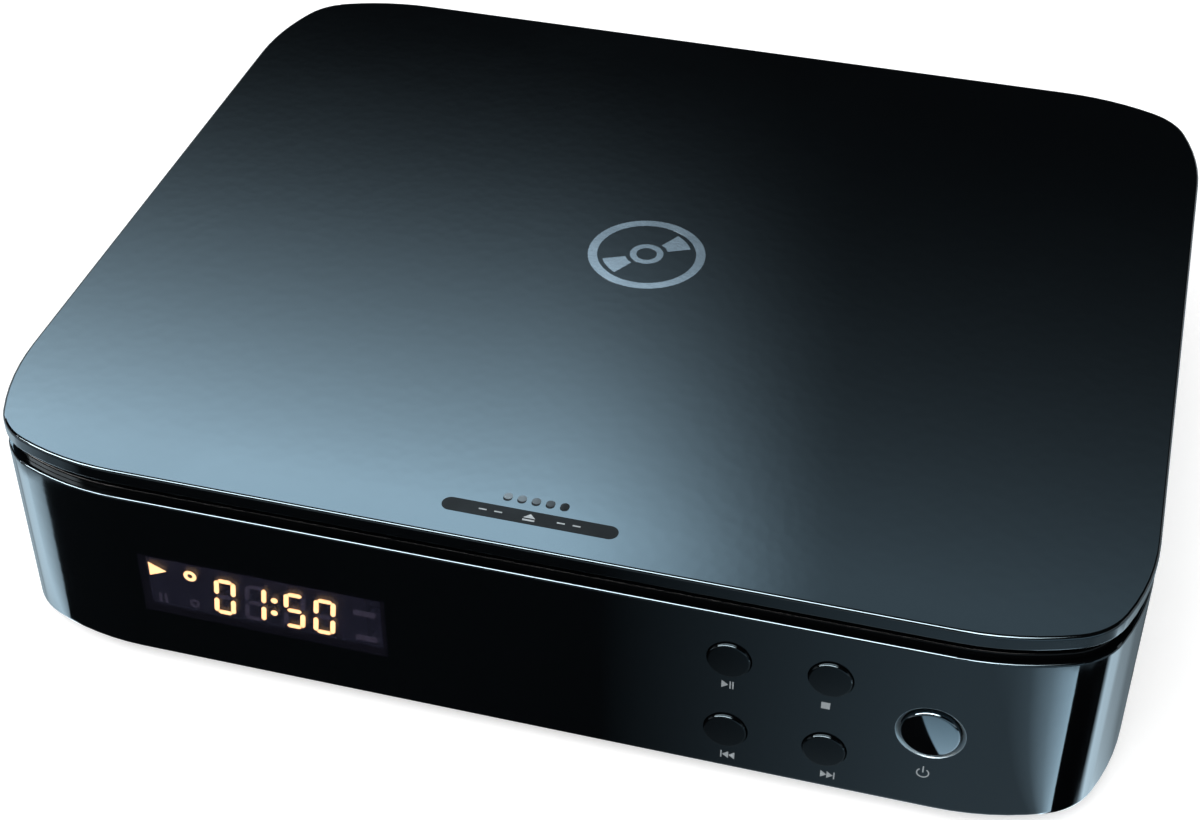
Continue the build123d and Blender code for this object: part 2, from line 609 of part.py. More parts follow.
with BuildPart() as disc_deck:
    with BuildSketch(Plane.XY.offset(DECK_BOTTOM)):
        casing_outline(deck_edge)
    extrude(amount=PLATE + LIP_HEIGHT)
    fillet(disc_deck.edges().group_by(Axis.Z)[-1], SMALL_ROUND)
    with BuildSketch(Plane.XY.offset(BODY_TOP)):
        casing_outline(deck_edge + LIP_WIDTH)
    extrude(amount=LIP_HEIGHT, mode=Mode.SUBTRACT)
    with BuildSketch(Plane.XY.offset(WELL_UNDER)):
        well_outline(WELL_WALL)
    extrude(amount=DECK_BOTTOM - WELL_UNDER)
    # posts that the drive hangs from
    for x, y in chassis_mounts:
        round_post(x, y, CHASSIS_TOP + GROMMET_LIP, DECK_BOTTOM, HANGER_RADIUS)
    with BuildSketch(Plane.XY.offset(WELL_FLOOR)):
        well_outline(0)
    extrude(amount=BODY_TOP - WELL_FLOOR, mode=Mode.SUBTRACT)
    # opening for the turntable and the pickup
    with BuildSketch(Plane.XY.offset(WELL_UNDER)):
        with Locations((0, DISC_Y)):
            Circle(TURNTABLE_RADIUS + TURNTABLE_ROOM)
        with Locations((lens_reach / 2, DISC_Y)):
            Rectangle(lens_reach, 2 * LENS_SLOT_HALF)
    extrude(amount=WELL_WALL, mode=Mode.SUBTRACT)
    # hinge wells, each with an ear on both sides of the arm
    for side in (-1, 1):
        slot = sorted((side * ear_in, side * ear_out))
        block(slot, (slot_front, slot_rear), (DECK_BOTTOM, BODY_TOP), mode=Mode.SUBTRACT)
        for near in (ear_in - EAR, ear_out):
            with BuildSketch(Plane.YZ.offset(side * near)):
                with Locations((HINGE_Y, HINGE_Z)):
                    Circle(KNUCKLE_RADIUS)
                with Locations((HINGE_Y, (HINGE_Z + DECK_BOTTOM) / 2)):
                    Rectangle(2 * KNUCKLE_RADIUS, DECK_BOTTOM - HINGE_Z)
            extrude(amount=side * EAR)
    with BuildSketch(Plane.YZ.offset(LEFT)):
        with Locations((HINGE_Y, HINGE_Z)):
            Circle(PIN_RADIUS)
    extrude(amount=WIDTH, mode=Mode.SUBTRACT)
    # hole for the lid catch
    striker_room = STRIKER_HALF + STRIKER_ROOM
    block(
        (-striker_room, striker_room),
        (LATCH_Y - striker_room, LATCH_Y + striker_room),
        (DECK_BOTTOM, BODY_TOP),
        mode=Mode.SUBTRACT,
    )
    for x, y in chassis_mounts:
        round_post(x, y, CHASSIS_TOP, WELL_UNDER, SMALL_SCREW, Mode.SUBTRACT)
    for x, y in CORNERS:
        flat_head(x, y, BODY_TOP, -PLATE, SCREW_RADIUS + FIT, SCREW_HEAD, SCREW_HEAD_DEPTH, Mode.SUBTRACT)
disc_deck.part.label = "disc_deck"
export_step(disc_deck.part, "parts/disc_deck.step")

with BuildPart() as deck_screws:
    for x, y in CORNERS:
        flat_head(x, y, BODY_TOP, -DECK_SCREW, SCREW_RADIUS - RUNNING, SCREW_HEAD, SCREW_HEAD_DEPTH)
deck_screws.part.label = "deck_screws"
export_step(deck_screws.part, "parts/deck_screws.step")

with BuildPart() as lid_bumpers:
    for side in (-1, 1):
        round_post(side * BUMPER_X, LATCH_Y, BODY_TOP, LINER_BOTTOM - FIT, BUMPER_RADIUS)
    fillet(lid_bumpers.edges().group_by(Axis.Z)[-1], SOFT_ROUND)
lid_bumpers.part.label = "lid_bumpers"
export_step(lid_bumpers.part, "parts/lid_bumpers.step")

# ---------------------------------------------------------------------------------------------
# Lid
# ---------------------------------------------------------------------------------------------
with BuildPart() as lid_cover:
    with BuildSketch(Plane.XY.offset(LID_BOTTOM)):
        casing_outline(0)
    extrude(amount=LID_RIM)
    fillet(lid_cover.edges().group_by(Axis.Z)[-1], LID_ROUND)
    fillet(lid_cover.edges().group_by(Axis.Z)[0], SMALL_ROUND)
    with BuildSketch(Plane.XY.offset(LID_BOTTOM)):
        casing_outline(WALL)
    extrude(amount=LID_RIM - LID_SKIN, mode=Mode.SUBTRACT)
    # row of finger dots at the front edge
    with BuildSketch(Plane.XY.offset(LID_TOP)):
        with Locations((0, FRONT + DOT_INSET)):
            with GridLocations(DOT_PITCH, 0, DOT_COUNT, 1):
                Circle(DOT_RADIUS)
    extrude(amount=-DOT_DEPTH, mode=Mode.SUBTRACT)
    for x, y in LINER_FIXINGS:
        round_post(x, y, LINER_TOP, LINER_TOP + LINER_BITE, SMALL_SCREW, Mode.SUBTRACT)
lid_cover.part.label = "lid_cover"
export_step(lid_cover.part, "parts/lid_cover.step")

with BuildPart() as lid_liner:
    with BuildSketch(Plane.XY.offset(LINER_BOTTOM)):
        casing_outline(LINER_INSET)
    extrude(amount=LINER)
    block((LEFT, RIGHT), (LINER_REAR, REAR), (LINER_BOTTOM, LINER_TOP), mode=Mode.SUBTRACT)
    # shallow dish over the hub
    dish_radius = TURNTABLE_RADIUS + TURNTABLE_ROOM
    round_post(0, DISC_Y, LINER_BOTTOM, LINER_BOTTOM + HUB_DISH, dish_radius, Mode.SUBTRACT)
    for x, y in LINER_FIXINGS:
        flat_head(x, y, LINER_BOTTOM, LINER, SMALL_SCREW + FIT, SMALL_HEAD, SMALL_HEAD_DEPTH, Mode.SUBTRACT)
lid_liner.part.label = "lid_liner"
export_step(lid_liner.part, "parts/lid_liner.step")

with BuildPart() as liner_screws:
    for x, y in LINER_FIXINGS:
        length = LINER + LINER_BITE - FIT
        flat_head(x, y, LINER_BOTTOM, length, SMALL_SCREW - RUNNING, SMALL_HEAD, SMALL_HEAD_DEPTH)
liner_screws.part.label = "liner_screws"
export_step(liner_screws.part, "parts/liner_screws.step")

with BuildPart() as hinge_arms:
    for side in (-1, 1):
        with BuildSketch(Plane.YZ.offset(side * HINGE_X - ARM_WIDTH / 2)):
            with BuildLine():
                Polyline(
                    (HINGE_Y, HINGE_Z - ARM_THICKNESS / 2),
                    (HINGE_Y, HINGE_Z + ARM_THICKNESS / 2),
                    (ARM_FRONT + ARM_THICKNESS, HINGE_Z + ARM_THICKNESS / 2),
                    (ARM_FRONT + ARM_THICKNESS, LINER_BOTTOM),
                    (ARM_FRONT - ARM_PAD, LINER_BOTTOM),
                    (ARM_FRONT - ARM_PAD, LINER_BOTTOM - ARM_PAD_THICKNESS),
                    (ARM_FRONT, LINER_BOTTOM - ARM_PAD_THICKNESS),
                    (ARM_FRONT, HINGE_Z - ARM_THICKNESS / 2),
                    close=True,
                )
            make_face()
            with Locations((HINGE_Y, HINGE_Z)):
                Circle(KNUCKLE_RADIUS)
                Circle(PIN_RADIUS + RUNNING, mode=Mode.SUBTRACT)
        extrude(amount=ARM_WIDTH)
hinge_arms.part.label = "hinge_arms"
export_step(hinge_arms.part, "parts/hinge_arms.step")

with BuildPart() as hinge_pins:
    for side in (-1, 1):
        with BuildSketch(Plane.YZ.offset(side * (ear_in - EAR))):
            with Locations((HINGE_Y, HINGE_Z)):
                Circle(PIN_RADIUS)
        extrude(amount=side * (ear_out - ear_in + 2 * EAR))
hinge_pins.part.label = "hinge_pins"
export_step(hinge_pins.part, "parts/hinge_pins.step")

with BuildPart() as lid_striker:
    foot = STRIKER_HALF + STRIKER_FOOT
    block((-foot, foot), (LATCH_Y - foot, LATCH_Y + foot), (LINER_BOTTOM - ARM_PAD_THICKNESS, LINER_BOTTOM))
    block(
        (-STRIKER_HALF, STRIKER_HALF),
        (LATCH_Y - STRIKER_HALF / 2, LATCH_Y + STRIKER_HALF / 2),
        (STRIKER_TIP_Z, LINER_BOTTOM),
    )
    # barbed tip that the slider's fingers hold
    with BuildSketch(Plane.YZ.offset(-STRIKER_HALF)):
        with BuildLine():
            Polyline(
                (LATCH_Y - STRIKER_HALF / 2, STRIKER_TIP_Z),
                (LATCH_Y + STRIKER_HALF / 2, STRIKER_TIP_Z),
                (LATCH_Y + STRIKER_HALF, STRIKER_TIP_Z + STRIKER_BARB),
                (LATCH_Y - STRIKER_HALF, STRIKER_TIP_Z + STRIKER_BARB),
                close=True,
            )
        make_face()
    extrude(amount=2 * STRIKER_HALF)
lid_striker.part.label = "lid_striker"
export_step(lid_striker.part, "parts/lid_striker.step")

# ---------------------------------------------------------------------------------------------
# Latch
# ---------------------------------------------------------------------------------------------
latch_room = LATCH_HALF - LATCH_WALL
slider_half = latch_room - SLIDE_GAP
with BuildPart() as latch_case:
    block(
        (-LATCH_HALF, LATCH_HALF),
        (LATCH_Y - LATCH_HALF, LATCH_Y + LATCH_HALF),
        (LATCH_FLOOR_Z, DECK_BOTTOM),
    )
    block(
        (-latch_room, latch_room),
        (LATCH_Y - latch_room, LATCH_Y + latch_room),
        (LATCH_FLOOR_Z + LATCH_WALL, DECK_BOTTOM),
        mode=Mode.SUBTRACT,
    )
latch_case.part.label = "latch_case"
export_step(latch_case.part, "parts/latch_case.step")

striker_slot = STRIKER_HALF + STRIKER_GAP
with BuildPart() as latch_slider:
    block(
        (-slider_half, slider_half),
        (LATCH_Y - slider_half, LATCH_Y + slider_half),
        (SLIDER_LOW, SLIDER_HIGH),
    )
    block(
        (-striker_slot, striker_slot),
        (LATCH_Y - striker_slot, LATCH_Y + striker_slot),
        (SLIDER_LOW + SLIDER_FLOOR, SLIDER_HIGH),
        mode=Mode.SUBTRACT,
    )
latch_slider.part.label = "latch_slider"
export_step(latch_slider.part, "parts/latch_slider.step")

with BuildPart() as latch_spring:
    start = LATCH_FLOOR_Z + LATCH_WALL + LATCH_WIRE
    rise = SLIDER_LOW - LATCH_WIRE - start
    with BuildLine() as path:
        Helix(rise / LATCH_TURNS, rise, LATCH_COIL, center=(0, LATCH_Y, start))
    with BuildSketch(Plane(origin=path.line @ 0, z_dir=path.line % 0)) as section:
        Circle(LATCH_WIRE)
    sweep(section.sketch, path=path.line)
latch_spring.part.label = "latch_spring"
export_step(latch_spring.part, "parts/latch_spring.step")

# ---------------------------------------------------------------------------------------------
# Front panel
# ---------------------------------------------------------------------------------------------
with BuildPart() as display_window:
    block(
        (WINDOW_X - WINDOW_WIDTH / 2, WINDOW_X + WINDOW_WIDTH / 2),
        (FRONT, FRONT + WINDOW_THICKNESS),
        (WINDOW_Z - WINDOW_HEIGHT / 2, WINDOW_Z + WINDOW_HEIGHT / 2),
    )
display_window.part.label = "display_window"
export_step(display_window.part, "parts/display_window.step")


def button_form(x, z, radius, rim, crown):
    """Domed cap, collar behind the wall and stem, revolved about the button's own line."""
    collar_front = FRONT_INSIDE + COLLAR_GAP
    stem_end = KEY_BOARD_Y - SWITCH_DEPTH - PLUNGER - KEY_TRAVEL - FIT
    with BuildSketch(Plane(origin=(x, 0, z), x_dir=(1, 0, 0), z_dir=(0, 0, 1))) as profile:
        with BuildLine():
            ThreePointArc((0, crown), (radius * DOME_REACH, crown + (rim - crown) * DOME_FALL), (radius, rim))
            Polyline(
                (radius, rim),
                (radius, collar_front),
                (radius + KEY_FLANGE, collar_front),
                (radius + KEY_FLANGE, collar_front + KEY_FLANGE),
                (KEY_STEM, collar_front + KEY_FLANGE),
                (KEY_STEM, stem_end),
                (0, stem_end),
                (0, crown),
            )
        make_face()
    revolve(profile.sketch, axis=Axis((x, 0, z), (0, 1, 0)))


crown = FRONT - BUTTON_PROUD
with BuildPart() as play_button:
    button_form(KEY_X[0], KEY_Z[0], KEY_RADIUS, FRONT, crown)
play_button.part.label = "play_button"
export_step(play_button.part, "parts/play_button.step")

with BuildPart() as stop_button:
    button_form(KEY_X[1], KEY_Z[0], KEY_RADIUS, FRONT, crown)
stop_button.part.label = "stop_button"
export_step(stop_button.part, "parts/stop_button.step")

with BuildPart() as previous_button:
    button_form(KEY_X[0], KEY_Z[1], KEY_RADIUS, FRONT, crown)
previous_button.part.label = "previous_button"
export_step(previous_button.part, "parts/previous_button.step")

with BuildPart() as next_button:
    button_form(KEY_X[1], KEY_Z[1], KEY_RADIUS, FRONT, crown)
next_button.part.label = "next_button"
export_step(next_button.part, "parts/next_button.step")

with BuildPart() as power_button:
    button_form(POWER_X, POWER_Z, POWER_RADIUS, FRONT + RING_SINK, FRONT - BUTTON_PROUD / 2)
power_button.part.label = "power_button"
export_step(power_button.part, "parts/power_button.step")

with BuildPart() as power_ring:
    front_disc(POWER_X, POWER_Z, FRONT, FRONT_INSIDE, RING_RADIUS)
    front_disc(POWER_X, POWER_Z, FRONT, FRONT_INSIDE, POWER_RADIUS + SLIDE_GAP, Mode.SUBTRACT)
    chamfer(power_ring.edges().group_by(Axis.Y)[0].sort_by(SortBy.LENGTH)[0], RING_BEVEL)
power_ring.part.label = "power_ring"
export_step(power_ring.part, "parts/power_ring.step")

with BuildPart() as key_board:
    block(KEY_BOARD_X, (KEY_BOARD_Y, KEY_BOARD_BACK), (BASE_TOP, BOARD_TOP))
    for x, z in KEY_POSTS:
        front_disc(x, z, KEY_BOARD_Y, KEY_BOARD_BACK, SMALL_SCREW, Mode.SUBTRACT)
key_board.part.label = "key_board"
export_step(key_board.part, "parts/key_board.step")

with BuildPart() as display_board:
    block(DISPLAY_BOARD_X, (KEY_BOARD_Y, KEY_BOARD_BACK), (BASE_TOP, BOARD_TOP))
    for x, z in DISPLAY_POSTS:
        front_disc(x, z, KEY_BOARD_Y, KEY_BOARD_BACK, SMALL_SCREW, Mode.SUBTRACT)
display_board.part.label = "display_board"
export_step(display_board.part, "parts/display_board.step")

switch_front = KEY_BOARD_Y - SWITCH_DEPTH
with BuildPart() as tact_switches:
    for x, z in [(x, z) for x in KEY_X for z in KEY_Z] + [(POWER_X, POWER_Z)]:
        block(
            (x - SWITCH_SIDE / 2, x + SWITCH_SIDE / 2),
            (switch_front, KEY_BOARD_Y),
            (z - SWITCH_SIDE / 2, z + SWITCH_SIDE / 2),
        )
        front_disc(x, z, switch_front - PLUNGER, switch_front, PLUNGER_RADIUS)
tact_switches.part.label = "tact_switches"
export_step(tact_switches.part, "parts/tact_switches.step")

opening_half = WINDOW_WIDTH / 2 - WINDOW_FLANGE
display_right = WINDOW_X + WINDOW_WIDTH / 2 - RECEIVER - FIT
display_z = (WINDOW_Z - WINDOW_HEIGHT / 2 + WINDOW_FLANGE, WINDOW_Z + WINDOW_HEIGHT / 2 - WINDOW_FLANGE)
with BuildPart() as display_module:
    block((WINDOW_X - opening_half, display_right), (FRONT_INSIDE, KEY_BOARD_Y), display_z)
display_module.part.label = "display_module"
export_step(display_module.part, "parts/display_module.step")

with BuildPart() as ir_receiver:
    receiver_x = (display_right + FIT, WINDOW_X + opening_half)
    receiver_z = (WINDOW_Z - RECEIVER, WINDOW_Z + RECEIVER / 2)
    dome_front = FRONT_INSIDE + RECEIVER_GAP
    block(receiver_x, (dome_front + RECEIVER_GAP, KEY_BOARD_Y), receiver_z)
    dome_radius = (receiver_x[1] - receiver_x[0]) / 2
    front_disc(sum(receiver_x) / 2, WINDOW_Z, dome_front, dome_front + RECEIVER_GAP, dome_radius)
ir_receiver.part.label = "ir_receiver"
export_step(ir_receiver.part, "parts/ir_receiver.step")

with BuildPart() as panel_screws:
    for x, z in DISPLAY_POSTS + KEY_POSTS:
        front_disc(x, z, KEY_BOARD_BACK, KEY_BOARD_BACK + SMALL_HEAD_DEPTH, SMALL_HEAD)
        front_disc(x, z, KEY_BOARD_BACK - PANEL_SCREW, KEY_BOARD_BACK, SMALL_SCREW - RUNNING)
panel_screws.part.label = "panel_screws"
export_step(panel_screws.part, "parts/panel_screws.step")

# ---------------------------------------------------------------------------------------------
# Disc drive
# ---------------------------------------------------------------------------------------------
sled_start = LENS_IN - SLED_INNER
sled_end = LENS_IN + LENS_TRAVEL + SLED_OUTER
rod_left = sled_start - SLED_END_GAP - ROD_BLOCK
rod_right = sled_end + SLED_END_GAP + ROD_BLOCK
rod_blocks = ((rod_left, rod_left + ROD_BLOCK), (rod_right - ROD_BLOCK, rod_right))

with BuildPart() as drive_chassis:
    with BuildSketch(Plane.XY.offset(CHASSIS_Z)):
        with Locations((sum(CHASSIS_X) / 2, sum(CHASSIS_Y) / 2)):
            RectangleRounded(CHASSIS_X[1] - CHASSIS_X[0], CHASSIS_Y[1] - CHASSIS_Y[0], MOUNT_INSET)
    extrude(amount=CHASSIS_SHEET)
    for ends in rod_blocks:
        for side in (-1, 1):
            y = DISC_Y + side * ROD_Y
            block(ends, (y - ROD_BLOCK_HALF, y + ROD_BLOCK_HALF), (CHASSIS_TOP, ROD_Z + ROD_BLOCK_HALF))
    # window below the pickup
    window_half = ROD_Y - ROD_BLOCK_HALF - CHASSIS_LAND / 2
    block(
        (SPINDLE_MOTOR_RADIUS + CHASSIS_LAND, rod_right - ROD_BLOCK),
        (DISC_Y - window_half, DISC_Y + window_half),
        (CHASSIS_Z, CHASSIS_TOP),
        mode=Mode.SUBTRACT,
    )
    for x, y in chassis_mounts:
        round_post(x, y, CHASSIS_Z, CHASSIS_TOP, GROMMET_NECK, Mode.SUBTRACT)
    round_post(PINION_X, IDLER_Y, CHASSIS_Z, CHASSIS_TOP, MOTOR_NOSE, Mode.SUBTRACT)
    round_post(IDLER_X, IDLER_Y, CHASSIS_Z, CHASSIS_TOP, IDLER_PIN, Mode.SUBTRACT)
    for side in (-1, 1):
        with BuildSketch(Plane.YZ.offset(rod_left)):
            with Locations((DISC_Y + side * ROD_Y, ROD_Z)):
                Circle(ROD_RADIUS)
        extrude(amount=rod_right - rod_left, mode=Mode.SUBTRACT)
drive_chassis.part.label = "drive_chassis"
export_step(drive_chassis.part, "parts/drive_chassis.step")

with BuildPart() as guide_rods:
    with BuildSketch(Plane.YZ.offset(rod_left)):
        with Locations((DISC_Y - ROD_Y, ROD_Z), (DISC_Y + ROD_Y, ROD_Z)):
            Circle(ROD_RADIUS)
    extrude(amount=rod_right - rod_left)
guide_rods.part.label = "guide_rods"
export_step(guide_rods.part, "parts/guide_rods.step")

with BuildPart() as chassis_grommets:
    for x, y in chassis_mounts:
        round_post(x, y, CHASSIS_Z - GROMMET_LIP, CHASSIS_Z, GROMMET_RADIUS)
        round_post(x, y, CHASSIS_Z, CHASSIS_TOP, GROMMET_NECK)
        round_post(x, y, CHASSIS_TOP, CHASSIS_TOP + GROMMET_LIP, GROMMET_RADIUS)
        round_post(x, y, CHASSIS_Z - GROMMET_LIP, CHASSIS_TOP + GROMMET_LIP, GROMMET_BORE, Mode.SUBTRACT)
chassis_grommets.part.label = "chassis_grommets"
export_step(chassis_grommets.part, "parts/chassis_grommets.step")

with BuildPart() as chassis_screws:
    for x, y in chassis_mounts:
        seat = CHASSIS_Z - GROMMET_LIP
        round_post(x, y, seat - SMALL_HEAD_DEPTH, seat, GROMMET_NECK)
        round_post(x, y, seat, WELL_UNDER - HANGER_BITE, SMALL_SCREW - RUNNING)
chassis_screws.part.label = "chassis_screws"
export_step(chassis_screws.part, "parts/chassis_screws.step")

with BuildPart() as spindle_motor:
    round_post(0, DISC_Y, CHASSIS_TOP, MOTOR_TOP, SPINDLE_MOTOR_RADIUS)
    fillet(spindle_motor.edges().group_by(Axis.Z)[-1], SOFT_ROUND)
    round_post(0, DISC_Y, CHASSIS_TOP + SPINDLE_FLOOR, MOTOR_TOP, SPINDLE_SHAFT + RUNNING, Mode.SUBTRACT)
spindle_motor.part.label = "spindle_motor"
export_step(spindle_motor.part, "parts/spindle_motor.step")

turntable_under = TURNTABLE_TOP - TURNTABLE_SHEET
spindle_low = CHASSIS_TOP + SPINDLE_FLOOR + SLIDE_GAP
with BuildPart() as turntable:
    with BuildSketch(Plane.XZ.offset(-DISC_Y)) as turned:
        with BuildLine():
            Polyline(
                (0, spindle_low),
                (SPINDLE_SHAFT, spindle_low),
                (SPINDLE_SHAFT, turntable_under),
                (TURNTABLE_RADIUS, turntable_under),
                (TURNTABLE_RADIUS, TURNTABLE_TOP),
                (HUB_RADIUS, TURNTABLE_TOP),
                (HUB_RADIUS, HUB_TOP - HUB_TAPER[1]),
                (HUB_RADIUS - HUB_TAPER[0], HUB_TOP),
                (HUB_DIMPLE[0], HUB_TOP),
                (HUB_DIMPLE[0], HUB_TOP - HUB_DIMPLE[1]),
                (0, HUB_TOP - HUB_DIMPLE[1]),
                close=True,
            )
        make_face()
    revolve(axis=Axis((0, DISC_Y, 0), (0, 0, 1)))
    with Locations((0, DISC_Y, BALL_Z)):
        with PolarLocations(BALL_PLACE, 3):
            Sphere(BALL_RADIUS + RUNNING, mode=Mode.SUBTRACT)
turntable.part.label = "turntable"
export_step(turntable.part, "parts/turntable.step")

with BuildPart() as turntable_pad:
    round_post(0, DISC_Y, TURNTABLE_TOP, TURNTABLE_TOP + PAD_THICKNESS, TURNTABLE_RADIUS - PAD_EDGE)
    round_post(0, DISC_Y, TURNTABLE_TOP, TURNTABLE_TOP + PAD_THICKNESS, PAD_INNER, Mode.SUBTRACT)
turntable_pad.part.label = "turntable_pad"
export_step(turntable_pad.part, "parts/turntable_pad.step")

with BuildPart() as hub_balls:
    with Locations((0, DISC_Y, BALL_Z)):
        with PolarLocations(BALL_PLACE, 3):
            Sphere(BALL_RADIUS)
hub_balls.part.label = "hub_balls"
export_step(hub_balls.part, "parts/hub_balls.step")

with BuildPart() as pickup_sled:
    block(
        (LENS_IN - SLED_INNER, LENS_IN + SLED_OUTER),
        (DISC_Y - ROD_Y - SLED_WING, DISC_Y - ROD_Y + SLED_WING),
        (SLED_LOW, ROD_Z + SLED_WING),
    )
    block(
        (LENS_IN - SLED_INNER, LENS_IN + SLED_OUTER),
        (DISC_Y - ROD_Y, DISC_Y + ROD_Y - SLED_HOOK),
        (SLED_LOW, SLED_TOP),
    )
    block(
        (LENS_IN - SLED_HOOK, LENS_IN + SLED_HOOK),
        (DISC_Y, DISC_Y + ROD_Y + ROD_RADIUS),
        (SLED_LOW, ROD_Z + SLED_WING),
    )
    # raised cover round the lens
    with BuildSketch(Plane.XY.offset(SLED_TOP)):
        with Locations((LENS_IN, DISC_Y)):
            RectangleRounded(2 * COVER_HALF, COVER_LENGTH, COVER_CORNER)
    extrude(amount=COVER_RISE)
    round_post(LENS_IN, DISC_Y, SLED_TOP, SLED_TOP + COVER_RISE, LENS_RADIUS + LENS_BEZEL, Mode.SUBTRACT)
    # bush on the front rod, open fork on the rear rod
    with BuildSketch(Plane.YZ.offset(LENS_IN - SLED_INNER)):
        with Locations((DISC_Y - ROD_Y, ROD_Z)):
            Circle(ROD_RADIUS + RUNNING)
    extrude(amount=SLED_INNER + SLED_OUTER, mode=Mode.SUBTRACT)
    fork = ROD_RADIUS + RUNNING
    block(
        (LENS_IN - SLED_HOOK, LENS_IN + SLED_HOOK),
        (DISC_Y + ROD_Y - fork, DISC_Y + ROD_Y + ROD_RADIUS),
        (ROD_Z - fork, ROD_Z + fork),
        mode=Mode.SUBTRACT,
    )
pickup_sled.part.label = "pickup_sled"
export_step(pickup_sled.part, "parts/pickup_sled.step")

with BuildPart() as objective_lens:
    round_post(LENS_IN, DISC_Y, SLED_TOP, LENS_TOP - LENS_RIM, LENS_RADIUS + LENS_BEZEL)
    round_post(LENS_IN, DISC_Y, LENS_TOP - LENS_RIM, LENS_TOP, LENS_RADIUS)
    fillet(objective_lens.edges().group_by(Axis.Z)[-1], SMALL_ROUND)
objective_lens.part.label = "objective_lens"
export_step(objective_lens.part, "parts/objective_lens.step")

rack_back = DISC_Y - ROD_Y - SLED_WING
rack_teeth = ceil(LENS_TRAVEL / PITCH) + 2 * RACK_LEAD
with BuildPart() as sled_rack:
    block(
        (IDLER_X + (RACK_LEAD - rack_teeth) * PITCH, IDLER_X + RACK_LEAD * PITCH),
        (RACK_Y + DEDENDUM, rack_back),
        (RACK_LOW, RACK_HIGH),
    )
    root_half = (PITCH / 2 - TOOTH_SLACK) / 2 + (DEDENDUM + FIT) * tan(PRESSURE)
    tip_half = (PITCH / 2 - TOOTH_SLACK) / 2 - ADDENDUM * tan(PRESSURE)
    with BuildSketch(Plane.XY.offset(RACK_LOW)):
        for step in range(rack_teeth):
            centre = IDLER_X + (RACK_LEAD - 0.5 - step) * PITCH
            with BuildLine():
                Polyline(
                    (centre - root_half, RACK_Y + DEDENDUM + FIT),
                    (centre + root_half, RACK_Y + DEDENDUM + FIT),
                    (centre + tip_half, RACK_Y - ADDENDUM),
                    (centre - tip_half, RACK_Y - ADDENDUM),
                    close=True,
                )
            make_face()
    extrude(amount=RACK_HIGH - RACK_LOW)
sled_rack.part.label = "sled_rack"
export_step(sled_rack.part, "parts/sled_rack.step")

with BuildPart() as idler_gear:
    with BuildSketch(Plane.XY.offset(GEAR_LOW)):
        with Locations((IDLER_X, IDLER_Y)):
            gear_outline(WHEEL_TEETH, 180)
    extrude(amount=GEAR_FACE)
    with BuildSketch(Plane.XY.offset(GEAR_LOW + GEAR_FACE)):
        with Locations((IDLER_X, IDLER_Y)):
            gear_outline(SMALL_TEETH, 90)
    extrude(amount=RACK_HIGH - GEAR_LOW - GEAR_FACE)
    round_post(IDLER_X, IDLER_Y, GEAR_LOW, RACK_HIGH, IDLER_PIN + RUNNING, Mode.SUBTRACT)
idler_gear.part.label = "idler_gear"
export_step(idler_gear.part, "parts/idler_gear.step")

with BuildPart() as idler_pin:
    round_post(IDLER_X, IDLER_Y, CHASSIS_Z, RACK_HIGH + SLIDE_GAP, IDLER_PIN)
    round_post(IDLER_X, IDLER_Y, CHASSIS_TOP, GEAR_LOW - FIT, IDLER_PIN + PIN_HEAD)
    round_post(IDLER_X, IDLER_Y, RACK_HIGH + SLIDE_GAP, RACK_HIGH + PIN_HEAD, IDLER_PIN + PIN_HEAD)
idler_pin.part.label = "idler_pin"
export_step(idler_pin.part, "parts/idler_pin.step")

with BuildPart() as feed_motor:
    round_post(PINION_X, IDLER_Y, FEED_MOTOR_Z, CHASSIS_Z, FEED_MOTOR_RADIUS)
    fillet(feed_motor.edges().group_by(Axis.Z)[0], SOFT_ROUND)
    round_post(PINION_X, IDLER_Y, CHASSIS_Z, CHASSIS_TOP, MOTOR_NOSE)
    shaft_room = (FEED_MOTOR_Z + FEED_MOTOR_FLOOR, CHASSIS_TOP)
    round_post(PINION_X, IDLER_Y, *shaft_room, FEED_SHAFT + RUNNING, Mode.SUBTRACT)
feed_motor.part.label = "feed_motor"
export_step(feed_motor.part, "parts/feed_motor.step")

with BuildPart() as feed_pinion:
    with BuildSketch(Plane.XY.offset(GEAR_LOW)):
        with Locations((PINION_X, IDLER_Y)):
            gear_outline(PINION_TEETH, 180 / PINION_TEETH)
    extrude(amount=GEAR_FACE)
    round_post(PINION_X, IDLER_Y, FEED_MOTOR_Z + FEED_MOTOR_FLOOR + SLIDE_GAP, GEAR_LOW, FEED_SHAFT)
feed_pinion.part.label = "feed_pinion"
export_step(feed_pinion.part, "parts/feed_pinion.step")

# ---------------------------------------------------------------------------------------------
# Boards and sockets
# ---------------------------------------------------------------------------------------------
with BuildPart() as main_board:
    block(MAIN_X, MAIN_Y, (MAIN_BOARD_Z, MAIN_TOP))
    for x, y in MAIN_POSTS:
        round_post(x, y, MAIN_BOARD_Z, MAIN_TOP, SMALL_SCREW, Mode.SUBTRACT)
main_board.part.label = "main_board"
export_step(main_board.part, "parts/main_board.step")

with BuildPart() as side_board:
    block(SIDE_BOARD_X, SIDE_BOARD_Y, (SIDE_BOARD_Z, SIDE_TOP))
    for x, y in SIDE_POSTS:
        round_post(x, y, SIDE_BOARD_Z, SIDE_TOP, SMALL_SCREW, Mode.SUBTRACT)
side_board.part.label = "side_board"
export_step(side_board.part, "parts/side_board.step")

with BuildPart() as board_screws:
    for places, top in ((MAIN_POSTS, MAIN_TOP), (SIDE_POSTS, SIDE_TOP)):
        for x, y in places:
            round_post(x, y, top - BOARD_SCREW, top, SMALL_SCREW - RUNNING)
            round_post(x, y, top, top + SMALL_HEAD_DEPTH, SMALL_HEAD)
board_screws.part.label = "board_screws"
export_step(board_screws.part, "parts/board_screws.step")

